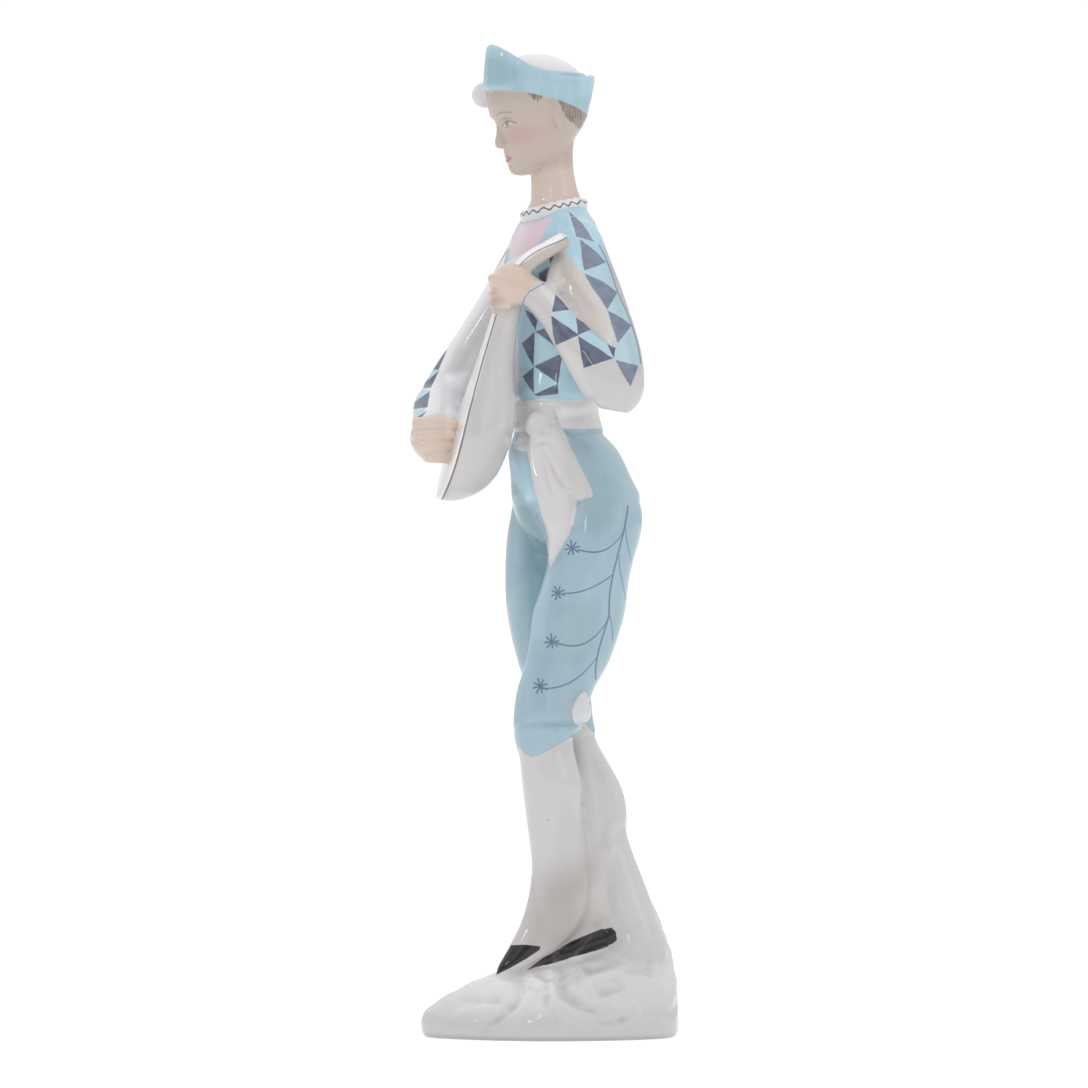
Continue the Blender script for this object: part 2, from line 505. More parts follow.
def vertexArray(mesh, field="co"):
    values = np.empty(len(mesh.vertices) * 3, np.float32)
    mesh.vertices.foreach_get(field, values)
    return values.reshape(-1, 3).astype(float)


def edgeArray(mesh):
    values = np.empty(len(mesh.edges) * 2, np.int32)
    mesh.edges.foreach_get("vertices", values)
    return values.reshape(-1, 2)


def neighbourMean(values, edges, count):
    # mean of the neighbours of every vertex, summed along the edges
    a, b = edges[:, 0], edges[:, 1]
    total = [np.bincount(a, values[b, c], len(values)) + np.bincount(b, values[a, c], len(values))
             for c in range(values.shape[1])]
    return np.stack(total, 1) / count[:, None]


rawMesh = joinedMesh("castingRaw", parts.values())
rawObject = bpy.data.objects.new("castingRaw", rawMesh)
bpy.context.collection.objects.link(rawObject)
fuse = rawObject.modifiers.new("fuse", "REMESH")
fuse.mode = "VOXEL"
fuse.voxel_size = castingMesh["voxel"]
fused = evaluated(rawObject)
bpy.data.objects.remove(rawObject)
print("fused:", len(fused.vertices), "vertices")

spots = vertexArray(fused)
edges = edgeArray(fused)
valence = np.maximum(np.bincount(edges.ravel(), minlength=len(spots)), 1)


def headPlace(points):
    # forward, left and up of the head's own frame, in shares
    away = points - headMiddle
    return np.stack([away @ headAxes[way] for way in ("forward", "left", "up")], 1) / share


def fineness(points):
    # 0 where the skin is softened fully, 1 at the face and the hands: a bell round each
    face = headPlace(points)
    fine = step(face[:, 0], 5, 25) * step(face[:, 2], -62, -50) * step(-face[:, 2], -40, -25)
    for centre, size in (((-44, -58, 752), 34), ((-115, -38, 602), 36)):
        fine = np.maximum(fine, 0.55 * bump(np.linalg.norm(points - placed(centre), axis=1) / share, size))
    return fine


# Where forms flow into each other, place and reach in shares: elbow, sash, shoulder, calves, hips and knee
flowing = [
    ((-108, 50, 640), 26), ((14, -60, 570), 40), ((24, -30, 805), 20), ((20, 20, 300), 16),
    ((-25, -24, 520), 34), ((85, -20, 536), 20), ((31, -49, 334), 16), ((30, 60, 505), 34),
    ((-14, 60, 515), 34), ((70, 30, 505), 34),
]


def extraSoft(points):
    # 1 below the knees and at the flowing places, 0 elsewhere and at the shoes
    low = step(-points[:, 2], -0.105, -0.06) * step(points[:, 2], 0.002, 0.012)
    for centre, size in flowing:
        low = np.maximum(low, bump(np.linalg.norm(points - placed(centre), axis=1) / share, size))
    shoeAway = np.linalg.norm((points - placed((-25, -22, 84))) / share, axis=1)
    farShoeAway = np.linalg.norm((points - placed((22, -4, 92))) / share * (0.6, 1, 1), axis=1)
    return low * (1 - 0.8 * np.maximum(bump(shoeAway, 22), bump(farShoeAway, 22)))


softening = castingMesh["pull"] * (1 - castingMesh["detailKept"] * fineness(spots))[:, None]
for _ in range(castingMesh["rounds"]):
    # the glaze softens every corner: each vertex goes part of the way to the mean of its neighbours
    spots += (neighbourMean(spots, edges, valence) - spots) * softening

softening = castingMesh["pull"] * extraSoft(spots)[:, None]
for _ in range(castingMesh["moreRounds"]):
    spots += (neighbourMean(spots, edges, valence) - spots) * softening


def setSpots(mesh, points):
    mesh.vertices.foreach_set("co", points.astype(np.float32).ravel())
    mesh.update()


setSpots(fused, spots)

# The painter's sheet: shares across and down, as the near side is seen from three metres away, waist high
sheet = {"away": 3.0, "across": 550.0, "down": 521.0, "level": 0.1663}


def sheetOf(points):
    # both shrink with the distance, 1 + y over the three metres
    shrink = 1 + points[:, 1] / sheet["away"]
    across = sheet["across"] + points[:, 0] / share / shrink
    down = sheet["down"] - (points[:, 2] - sheet["level"]) / share / shrink
    return np.stack((across, down), 1)


def lineDistance(points, path):
    # distance to a line of straight bits: the foot of the point on each bit, the nearest kept; and the run
    path = np.asarray(path, float)
    best = np.full(len(points), 1e9)
    run = np.zeros(len(points))
    for k in range(len(path) - 1):
        way = path[k + 1] - path[k]
        t = np.clip((points - path[k]) @ way / max(way @ way, 1e-12), 0, 1)
        gap = np.linalg.norm(points - path[k] - t[:, None] * way, axis=1)
        run = np.where(gap < best, (k + t) / (len(path) - 1), run)
        best = np.minimum(best, gap)
    return best, run


# How deep every vertex lies in each form
def skinDepth(points, rings, reach=0.008):
    # distance to a skin: at the nearest bit of its path, the way out from the centre times (1 - 1 / rho),
    # where rho is the place in the oval as a share of its edge; also the run along the path and the angle
    centre, across, along, power = rings["centre"], rings["across"], rings["along"], rings["power"]
    size = np.maximum(np.linalg.norm(across, axis=1), np.linalg.norm(along, axis=1))[:, None]
    low, high = (centre - size).min(0) - reach, (centre + size).max(0) + reach
    near = np.flatnonzero(((points > low) & (points < high)).all(1))
    depth = np.full(len(points), 0.05)
    run = np.zeros(len(points))
    angle = np.zeros(len(points))
    p = points[near]
    best = np.full(len(near), 1e9)
    total = len(centre)
    for k in range(total if rings["looped"] else total - 1):
        m = (k + 1) % total
        way = centre[m] - centre[k]
        length = max(way @ way, 1e-18)
        t = np.clip(((p - centre[k]) @ way) / length, 0, 1)[:, None]
        q = p - (centre[k] + way * t)
        a = across[k] * (1 - t) + across[m] * t
        b = along[k] * (1 - t) + along[m] * t
        u = (q * a).sum(1) / np.maximum((a * a).sum(1), 1e-14)
        v = (q * b).sum(1) / np.maximum((b * b).sum(1), 1e-14)
        flat = np.linalg.norm(u[:, None] * a + v[:, None] * b, axis=1)
        rest = np.sqrt(np.maximum((q * q).sum(1) - flat ** 2, 0))
        rho = np.maximum((np.abs(u) ** power + np.abs(v) ** power) ** (1 / power), 1e-6)
        skin = np.where(rho > 0.02, flat * (1 - 1 / rho), -0.001)
        out = np.where(rest > 1e-5, np.hypot(np.maximum(skin, 0), rest), skin)
        closer = out < best
        best = np.where(closer, out, best)
        run[near] = np.where(closer, k + t[:, 0], run[near])
        angle[near] = np.where(closer, np.arctan2(v, u), angle[near])
    depth[near] = np.minimum(best, 0.05)
    return depth, run, angle


# Relief on the near side: path on the sheet, half width in shares, depth in mm (below 0 stands proud),
# rearmost y in mm
relief = [
    # hat: fold of the front flap
    ([(552, 72.6), (566, 74), (577, 74.8), (583, 75)], 1.2, 0.4, 0),
    # waist band, knot and tails
    ([(550, 417), (570, 418.5), (602, 413)], 3.6, 0.3, 0),
    ([(550, 408), (575, 408), (604, 404)], 3.0, -0.2, 0),
    ([(508, 406), (522, 416), (534, 428)], 3.6, 0.15, -4),
    ([(520, 424), (530, 431), (541, 437), (552, 435)], 3.0, -0.5, -6),
    ([(524, 441), (538, 444), (552, 440)], 2.6, 0.3, -6),
    ([(546, 402), (548, 414), (546, 428)], 3.0, -0.25, -6),
    ([(553, 402), (556, 416), (562, 430)], 2.6, 0.35, -6),
    ([(544, 432), (547, 446), (553, 461), (565, 478), (577, 487), (594, 493)], 3.2, -0.65, -6),
    ([(552, 432), (558, 449), (568, 467), (584, 484)], 5, 0.35, -6),
    ([(548, 458), (556, 478), (568, 492)], 3.2, 0.4, -6),
    ([(536, 464), (543, 486), (551, 512)], 3.4, -0.35, -6),
    ([(540, 450), (547, 478), (558, 512)], 3.0, 0.25, -6),
    # crease of the near breeches above its hem
    ([(514, 727), (536, 723.5), (555, 725), (570, 726), (590, 721)], 2.8, 0.45, -6),
    # fold of the near elbow and the ridge on the inner face of the sleeve
    ([(574, 318), (590, 330), (602, 339), (620, 354)], 2.0, 0.5, -12),
    ([(566, 266), (582, 288), (597, 310), (612, 338)], 2.6, -0.35, -10),
    ([(560, 270), (582, 300), (602, 332)], 5, 0.35, -10),
    # rim of the lute's belly
    ([(493, 320), (481, 353), (471, 385), (462, 420), (450, 462), (441, 490)], 1.6, 0.25, 0),
    # rock: low leaf-like swirls
    ([(440, 1020), (456, 1004), (478, 997), (502, 1000), (522, 1012)], 6.5, 1.9, 0),
    ([(432, 1008), (452, 990), (480, 982), (510, 984), (530, 990)], 6.5, -1.0, 0),
    ([(470, 1038), (490, 1024), (508, 1009), (519, 992), (524, 972)], 5, 1.6, 0),
    ([(488, 1040), (508, 1024), (524, 1007), (532, 990), (536, 970)], 5.5, -1.3, 0),
    ([(542, 1014), (547, 998), (546, 980), (540, 966)], 5, 1.3, 0),
    ([(556, 950), (560, 974), (568, 994), (590, 1010), (618, 1016)], 6, 2.1, 0),
    ([(544, 962), (549, 986), (558, 1008), (580, 1022), (612, 1028)], 6, -1.3, 0),
    ([(574, 950), (582, 974), (594, 992), (626, 1008)], 5.5, -1.1, 0),
    ([(584, 1006), (600, 995), (616, 986), (640, 984)], 6, 1.8, 0),
    ([(582, 984), (602, 975), (630, 968)], 5, -0.9, 0),
    ([(580, 1028), (612, 1022), (646, 1012)], 5, 0.9, 0),
    ([(644, 940), (648, 970), (640, 1004)], 10, 0.7, 0),
]
# Face: left, up, half width, half height in shares, push forwards in mm; mirrored to the other side
face = [
    (15, 5, 8.5, 5.5, -0.95), (15.5, 3.4, 5.6, 3.6, 0.7), (15, 12.5, 9, 2.6, 0.3), (19, -12, 9, 9, 0.4),
    (7, -32, 8, 7, 0.22), (2.2, -29, 3.6, 1.7, 0.4), (1.5, -34.2, 4.6, 2.0, 0.45),
    (3, -31.5, 4.6, 1.0, -0.4), (7.6, -31.6, 2, 2, -0.28), (2, -38.6, 5.5, 3, -0.3),
    (2.5, -46, 6, 5.5, 0.4), (4.4, -18.6, 2.2, 2.2, 0.4), (2.4, -22, 1.2, 1.0, -0.35),
    (15.5, 7.9, 6.5, 1.2, -0.35), (15.5, 0.2, 6, 1.2, 0.15), (25, -24, 8, 12, -0.2),
]


def pressRelief(points, outward):
    # a line moves the skin along its normal: its depth times a bell curve of the distance on the sheet
    flat = sheetOf(points)
    moved = np.zeros(len(points))
    towards = step(-outward[:, 1], -0.05, 0.3)
    for path, wide, deep, rear in relief:
        path = rowsBetween(path, 5)
        low, high = path.min(0) - 3 * wide, path.max(0) + 3 * wide
        near = np.flatnonzero(((flat > low) & (flat < high)).all(1) & (points[:, 1] < rear / 1000 + 0.002))
        gap, run = lineDistance(flat[near], path)
        ends = step(run, -0.001, 0.38) * step(-run, -1.001, -0.62)
        ahead = step(-points[near, 1], -rear / 1000 - 0.002, -rear / 1000)
        moved[near] -= deep / 1000 * bump(gap, wide) * ends * towards[near] * ahead
    return points + outward * moved[:, None]


def pressFace(points):
    # every dab pushes along the head's forward way by a bell curve of the distance on the face
    place = headPlace(points)
    front = step(place[:, 0], 18, 30)
    push = np.zeros(len(points))
    for left, up, wide, high, deep in face:
        for side in (1, -1):
            push += deep * bump((place[:, 1] - side * left) / wide, 1) * bump((place[:, 2] - up) / high, 1)
    return points + headAxes["forward"] * (push * front / 1000)[:, None]


def pressRock(points, outward):
    # low waves over the rock: a few sines of the place added up, none on the rim or above the ridge
    wander = np.random.default_rng(7)
    waves = np.zeros(len(points))
    for _ in range(9):
        way, bend = unit(wander.normal(size=3) * (1, 1, 1.6)), unit(wander.normal(size=3))
        closeness, shift = wander.uniform(420, 1150), wander.uniform(0, 6.3)
        waves += np.sin(points @ way * closeness + shift + 1.4 * np.sin(points @ bend * 500))
    on = step(points[:, 2], 0.003, 0.008) * step(-points[:, 2], -0.052, -0.026)
    legs = skinDepth(points, parts["nearStocking"]["rings"], 0.004)[0]
    shoe = skinDepth(points, parts["farShoe"]["rings"], 0.004)[0]
    on *= step(np.minimum(legs, shoe), 0.0005, 0.003)
    return points + outward * (waves * on * 0.00007)[:, None]


outward = vertexArray(fused, "normal")
spots = pressFace(pressRelief(pressRock(spots, outward), outward))
# the casting stays in the solid's box
spots = np.clip(spots, np.array(cadBox[0]) + 2e-5, np.array(cadBox[1]) - 2e-5)
spots[:, 2] = np.maximum(spots[:, 2], 0)
setSpots(fused, spots)
print("relief pressed in")

thinObject = bpy.data.objects.new("castingThin", fused)
bpy.context.collection.objects.link(thinObject)
thin = thinObject.modifiers.new("thin", "DECIMATE")
thin.ratio = min(1.0, castingMesh["triangles"] / (len(fused.polygons) * 2))
casting = evaluated(thinObject)
bpy.data.objects.remove(thinObject)
casting.name = "porcelainFigure"
spots = vertexArray(casting)
normals = vertexArray(casting, "normal")
print("casting:", len(spots), "vertices,", len(casting.polygons), "faces")


zoneParts = {
    "hat": ["brim"], "crown": ["crown"], "tufts": ["tuft", "kneeTuft"],
    "flesh": ["cranium", "nose", "earLeft", "earRight", "neck", "nearPalm", "nearThumb", "farPalm"]
    + ["nearFinger%d" % n for n in range(4)] + ["farFinger%d" % n for n in range(4)],
    "collar": ["collar"], "jacket": ["trunk", "hem"], "nearSleeve": ["nearUpper", "nearFore", "nearWeb"],
    "farSleeve": ["farUpper", "farFore"], "lute": ["lute", "pegBox"],
    "sash": ["sashBand", "knot", "longTail", "shortTail"], "breeches": ["nearBreeches", "farBreeches"],
    "stockings": ["nearStocking", "farStocking", "footWeb", "heelWeb", "heelFill"], "shoe": ["farShoe"],
    "mound": ["mound"],
}
depths = {name: skinDepth(spots, part["rings"]) for name, part in parts.items()}
seat = spots[:, 2] / share - figure["moundHeight"] / share + figure["toeLevel"]    # height in shares
pelvis = depths["trunk"][0].copy()
underCollar = (spots - collarMiddle) @ collarAxes["up"] < 0.0005
depths["trunk"] = (np.where((seat > 620) & underCollar, depths["trunk"][0], 0.05),) + depths["trunk"][1:]
hips = np.where(seat < 622, np.minimum(depths["nearBreeches"][0], pelvis), 0.05)
depths["nearBreeches"] = (hips,) + depths["nearBreeches"][1:]
zoneDepth = {zone: np.min([depths[n][0] for n in names], axis=0) for zone, names in zoneParts.items()}


def zoneField(zone):
    # millimetres inside a zone: how much deeper a vertex lies in it than in any other
    others = np.min([d for z, d in zoneDepth.items() if z != zone], axis=0)
    return np.clip((others - zoneDepth[zone]) * 1000, -6, 6)


def addField(name, values):
    attribute = casting.attributes.new(name, "FLOAT", "POINT")
    attribute.data.foreach_set("value", np.asarray(values, np.float32))


for zone in zoneParts:
    addField(zone, zoneField(zone))
addField("towards", -normals[:, 1])

# Hollows: how far a softened copy of the skin lies outside the skin, in mm, narrow and wide
castEdges = edgeArray(casting)
castValence = np.maximum(np.bincount(castEdges.ravel(), minlength=len(spots)), 1)
hollows = {"narrowRounds": 6, "wideRounds": 45, "pull": 0.6}
soft = spots.copy()
for n in range(hollows["wideRounds"]):
    soft += (neighbourMean(soft, castEdges, castValence) - soft) * hollows["pull"]
    if n + 1 == hollows["narrowRounds"]:
        narrow = ((soft - spots) * normals).sum(1) * 1000
wideHollow = ((soft - spots) * normals).sum(1) * 1000
addField("narrowHollow", narrow)
addField("wideHollow", wideHollow)

# Band of the far sleeve: mm along the upper arm and round it from the band's middle; none on the fore arm
farBand = {"middle": 18, "bareRound": 12.0}
depth, run, angle = depths["farUpper"]
rings = parts["farUpper"]["rings"]
lengths = np.concatenate(([0], np.cumsum(np.linalg.norm(np.diff(rings["centre"], axis=0), axis=1)))) * 1000
wide = np.interp(run, np.arange(len(lengths)), np.linalg.norm(rings["across"], axis=1)) * 1000
turned = (angle - math.radians(farBand["middle"]) + math.pi) % (2 * math.pi) - math.pi
farAlong = np.where(depth <= depths["farFore"][0], np.interp(run, np.arange(len(lengths)), lengths), 0.0)
foreArm = depths["farFore"][0] <= depth
farRound = np.where(foreArm, farBand["bareRound"], turned * wide)
farAlong = np.where(foreArm, farAlong.max(), farAlong)
addField("farRound", np.clip(farRound, -farBand["bareRound"], farBand["bareRound"]))
addField("farAlong", farAlong)
print("zones measured")


# Glaze: one glossy skin over painted colours, laid on zone by zone
glazeShades = {
    "clay": (0.59, 0.578, 0.585), "warmClay": (0.56, 0.525, 0.5), "footClay": (0.455, 0.425, 0.41),
    "armClay": (0.55, 0.495, 0.455), "rock": (0.645, 0.635, 0.645), "rockPool": (0.4, 0.385, 0.375),
    "pool": (0.3, 0.24, 0.2), "speck": (0.3, 0.24, 0.19), "ochre": (0.52, 0.42, 0.31),
    "olive": (0.36, 0.4, 0.3), "tuft": (0.67, 0.67, 0.69), "crown": (0.76, 0.755, 0.765),
    "farSleeve": (0.78, 0.77, 0.79), "sash": (0.65, 0.635, 0.635), "blue": (0.39, 0.57, 0.65),
    "deepBlue": (0.26, 0.41, 0.48), "legBlue": (0.36, 0.495, 0.57), "inner": (0.185, 0.33, 0.385),
    "shoulder": (0.44, 0.645, 0.75), "upperBlue": (0.46, 0.62, 0.71), "lightBlue": (0.43, 0.62, 0.71),
    "slate": (0.098, 0.115, 0.165), "paleSlate": (0.18, 0.215, 0.285), "seam": (0.46, 0.47, 0.54),
    "pink": (0.7, 0.52, 0.59), "palePink": (0.74, 0.65, 0.7), "flesh": (0.54, 0.445, 0.395),
    "duskFlesh": (0.5, 0.425, 0.375), "hand": (0.66, 0.535, 0.455), "blush": (0.53, 0.33, 0.325),
    "lip": (0.56, 0.2, 0.22), "hair": (0.33, 0.27, 0.25), "hairStroke": (0.17, 0.13, 0.12),
    "lute": (0.6, 0.585, 0.575), "soundboard": (0.86, 0.84, 0.84), "pegTop": (0.86, 0.86, 0.87),
    "pegSide": (0.55, 0.47, 0.43), "luteLine": (0.1, 0.095, 0.105), "line": (0.095, 0.115, 0.18),
    "sprayLine": (0.09, 0.115, 0.22), "ribbon": (0.055, 0.055, 0.065), "shoe": (0.012, 0.012, 0.014),
    "strap": (0.035, 0.035, 0.04),
}
glazeRoughness = 0.085
glaze = bpy.data.materials.new("paintedGlaze")
glaze.use_nodes = True
nodes, links = glaze.node_tree.nodes, glaze.node_tree.links
shader = nodes["Principled BSDF"]
shader.inputs["Roughness"].default_value = glazeRoughness
shader.inputs["IOR"].default_value = 1.5


def plug(value, socket):
    # a socket is linked, anything else is the socket's own value
    if isinstance(value, bpy.types.NodeSocket):
        links.new(value, socket)
    else:
        socket.default_value = value


def mathNode(operation, a, b=0.0, c=0.0):
    node = nodes.new("ShaderNodeMath")
    node.operation = operation
    for value, socket in zip((a, b, c), node.inputs):
        plug(value, socket)
    return node.outputs[0]


def vectorNode(operation, a, b):
    node = nodes.new("ShaderNodeVectorMath")
    node.operation = operation
    plug(a, node.inputs[0])
    plug(b, node.inputs[1])
    return node.outputs["Value" if operation in ("DOT_PRODUCT", "LENGTH") else "Vector"]


def combined(x, y, z):
    node = nodes.new("ShaderNodeCombineXYZ")
    for value, socket in zip((x, y, z), node.inputs):
        plug(value, socket)
    return node.outputs[0]


def field(name):
    node = nodes.new("ShaderNodeAttribute")
    node.attribute_name = name
    return node.outputs["Fac"]


def edge(value, low=-0.4, high=0.4, bottom=0.0, top=1.0):
    # smooth step of a value from low to high
    node = nodes.new("ShaderNodeMapRange")
    node.interpolation_type = "SMOOTHSTEP"
    plug(value, node.inputs["Value"])
    for name, number in (("From Min", low), ("From Max", high), ("To Min", bottom), ("To Max", top)):
        node.inputs[name].default_value = number
    return node.outputs["Result"]


def laid(under, over, *masks):
    # one colour over another, as strong as the product of its masks; a word is the name of a shade
    node = nodes.new("ShaderNodeMix")
    node.data_type = "RGBA"
    plug(times(*masks), node.inputs["Factor"])
    for value, socket in ((under, node.inputs[6]), (over, node.inputs[7])):
        value = glazeShades[value] if isinstance(value, str) else value
        plug(value if isinstance(value, bpy.types.NodeSocket) else (*value, 1.0), socket)
    return node.outputs[2]


plus, minus, divided, scaled, larger, smaller = [
    partial(mathNode, kind) for kind in ("ADD", "SUBTRACT", "DIVIDE", "MULTIPLY_ADD", "MAXIMUM", "MINIMUM")]
absolute, sine, arcTangent, pingPong, fraction = [
    partial(mathNode, kind) for kind in ("ABSOLUTE", "SINE", "ARCTAN2", "PINGPONG", "FRACT")]


def most(values):
    result = values[0]
    for value in values[1:]:
        result = larger(result, value)
    return result


def least(values):
    result = values[0]
    for value in values[1:]:
        result = smaller(result, value)
    return result


def times(*values):
    result = values[0]
    for value in values[1:]:
        result = mathNode("MULTIPLY", result, value)
    return result


def noise(vector, scale, detail=2.0):
    node = nodes.new("ShaderNodeTexNoise")
    plug(vector, node.inputs["Vector"])
    node.inputs["Scale"].default_value = scale
    node.inputs["Detail"].default_value = detail
    return node.outputs["Fac"]


spotNode = nodes.new("ShaderNodeTexCoord")
spot = spotNode.outputs["Object"]
split = nodes.new("ShaderNodeSeparateXYZ")
links.new(spot, split.inputs[0])
spotX, spotY, spotZ = split.outputs
shrink = scaled(spotY, 1 / sheet["away"], 1.0)
sheetAcross = scaled(divided(spotX, shrink), 1 / share, sheet["across"])
sheetDown = scaled(divided(minus(spotZ, sheet["level"]), shrink), -1 / share, sheet["down"])
# a brush never follows a ruler: the sheet wavers by up to 0.7 of a share
waver = scaled(noise(spot, 260.0, 1.0), 1.4, -0.7)
sheetSpot = combined(plus(sheetAcross, waver), minus(sheetDown, waver), 1.0)
nearSide = edge(field("towards"), -0.08, 0.06)


def hullOf(corners):
    # the convex outline round the points: along its lower and its upper chain only turns to one side stay
    chains = []
    for ordered in (sorted(corners), sorted(corners, reverse=True)):
        chain = []
        for p in ordered:
            while len(chain) > 1 and ((chain[-1][0] - chain[-2][0]) * (p[1] - chain[-2][1])
                                      - (chain[-1][1] - chain[-2][1]) * (p[0] - chain[-2][0])) <= 0:
                chain.pop()
            chain.append(p)
        chains += chain[:-1]
    return np.array(chains, float)


def polygon(corners, place=None):
    # shares inside a convex outline: the least distance to its sides, each from the side's normal
    place = sheetSpot if place is None else place
    corners = hullOf(corners)
    following = np.roll(corners, -1, 0)
    turn = np.sign((corners[:, 0] * following[:, 1] - corners[:, 1] * following[:, 0]).sum())
    sides = []
    for a, b in zip(corners, following):
        normal = unit(np.array((a[1] - b[1], b[0] - a[0])) * turn)
        sides.append(vectorNode("DOT_PRODUCT", place, (*normal, -normal @ a)))
    return least(sides)


def stroke(points, half, upright=False, place=None):
    # shares inside a brush line: half its width less the distance to a cubic through its points
    points = np.array(points, float)
    t, s = (points[:, 1], points[:, 0]) if upright else (points[:, 0], points[:, 1])
    middle = t.mean()
    terms = np.polyfit(t - middle, s, min(3, len(points) - 1))
    across, down = place or (sheetAcross, sheetDown)
    run, off = (down, across) if upright else (across, down)
    local = minus(run, middle)
    bend = float(terms[0])
    for term in terms[1:]:
        bend = scaled(bend, local, float(term))
    slope = np.abs(np.polyval(np.polyder(terms), t - middle)).mean()
    gap = absolute(minus(off, bend))
    inside = scaled(gap, float(-1 / math.hypot(1, slope)), half)
    reach = minus(float(np.ptp(t) / 2 + 0.3), absolute(minus(run, float((t.min() + t.max()) / 2))))
    return smaller(inside, reach)


def star(centre, size, turn):
    # shares inside eight thin rays: half a ray less the distance to the nearest ray, and a dark heart
    away = vectorNode("SUBTRACT", combined(legAcross, sheetDown, 0.0), (centre[0], centre[1], 0.0))
    part = nodes.new("ShaderNodeSeparateXYZ")
    links.new(away, part.inputs[0])
    angle = plus(arcTangent(part.outputs[1], part.outputs[0]), turn)
    radius = vectorNode("LENGTH", away, (0, 0, 0))
    gap = times(pingPong(angle, math.pi / 8), radius)
    reach = minus(scaled(sine(times(angle, 3.0)), 0.7, size), radius)
    return most([least([minus(0.78, gap), reach]), minus(2.1, radius)])


# Diamonds of the near sleeve and of the jacket, corners on the painter's sheet
diamonds = {
    "upperDark": [
        [(569.5, 212), (575.8, 217.5), (582.8, 224.5), (589.8, 235), (594, 241.5), (584.2, 237.4),
         (576.5, 236.6), (575.2, 226)],
        [(580, 239.6), (594, 250), (605.4, 262.4), (596.8, 263.9), (584.4, 270.6), (583.3, 252)],
        [(584.6, 274.4), (594, 277.5), (604.5, 282.6), (617, 292.6), (607.3, 309.4), (597, 294)],
        [(608, 311.4), (617, 315.5), (631, 325.6), (618, 342.9), (614.9, 328)],
        [(615.6, 360.9), (638.3, 366), (630.6, 386.3), (624.6, 372.4)],
    ],
    "sleeveDark": [
        [(555.6, 295), (562.2, 303), (568.6, 309.6), (559.3, 309.2), (552.4, 311.6), (554.3, 304)],
        [(551.7, 316.4), (567, 327.2), (578.5, 335), (562, 341), (556.5, 344.8), (553, 333.6)],
        [(576.6, 318), (583.3, 323), (590, 329.9), (584.2, 332), (578.3, 334.6), (577.6, 326)],
        [(578.5, 336.4), (586, 342.8), (600.5, 351.6), (612.6, 358.3), (598, 362.5), (583.7, 368),
         (582.2, 356.6)],
        [(608, 344.6), (615.4, 348), (613.9, 357)],
    ],
    "sleeveLight": [
        [(585, 272.5), (589.8, 269), (596.8, 264), (605.4, 262.5), (607.4, 263.7), (611.5, 275.6),
         (617.1, 291.9), (604, 282)],
        [(608.4, 310.8), (617.5, 294.2), (631.2, 325.2), (616, 314.8)],
        [(618, 342.2), (631.2, 326.2), (636.8, 343), (639.8, 356.6), (638.9, 365.8), (630, 364.8),
         (621, 361.6), (614.3, 357.6), (615, 347)],
    ],
    "foreLight": [
        [(552.4, 311.8), (559.3, 309.8), (566, 309.9), (571.5, 312.6), (575.8, 317.4), (577.5, 324),
         (577.2, 333.2), (566, 325.7)],
        [(578.8, 335), (584.2, 331.8), (591.9, 331.1), (599.5, 336.5), (605.5, 343), (610.2, 350.4),
         (613.4, 357.7), (596, 348.4)],
    ],
    "jacketDark": [
        [(525.2, 309.8), (532.5, 314.2), (537, 321), (535.4, 329.3), (528, 316.6)],
        [(522, 343.6), (534.5, 332.5), (533.5, 365.4)],
        [(536.2, 331.8), (544.2, 328.6), (551, 337), (556, 346.6)],
        [(534.8, 366.5), (560, 354.6), (561.4, 359.4), (558, 383.2)],
        [(523, 376.2), (533.2, 367.9), (533.5, 393)],
        [(534.4, 394.9), (557.8, 384), (558, 394.2), (538.5, 396)],
        [(549.6, 258.4), (560.5, 252.6), (551.4, 267.4)],
        [(538.8, 273.8), (551.2, 266.6), (547, 283.4), (539.6, 278.4)],
        [(498.2, 266), (502, 260), (502.5, 274), (495, 276)],
    ],
    "jacketLight": [
        [(535.4, 333.6), (556.6, 351), (534.4, 365.2)], [(535, 367.6), (557.6, 383.2), (534.4, 394.2)],
        [(538.7, 269.4), (548.8, 259.7), (550.2, 266)],
    ],
}
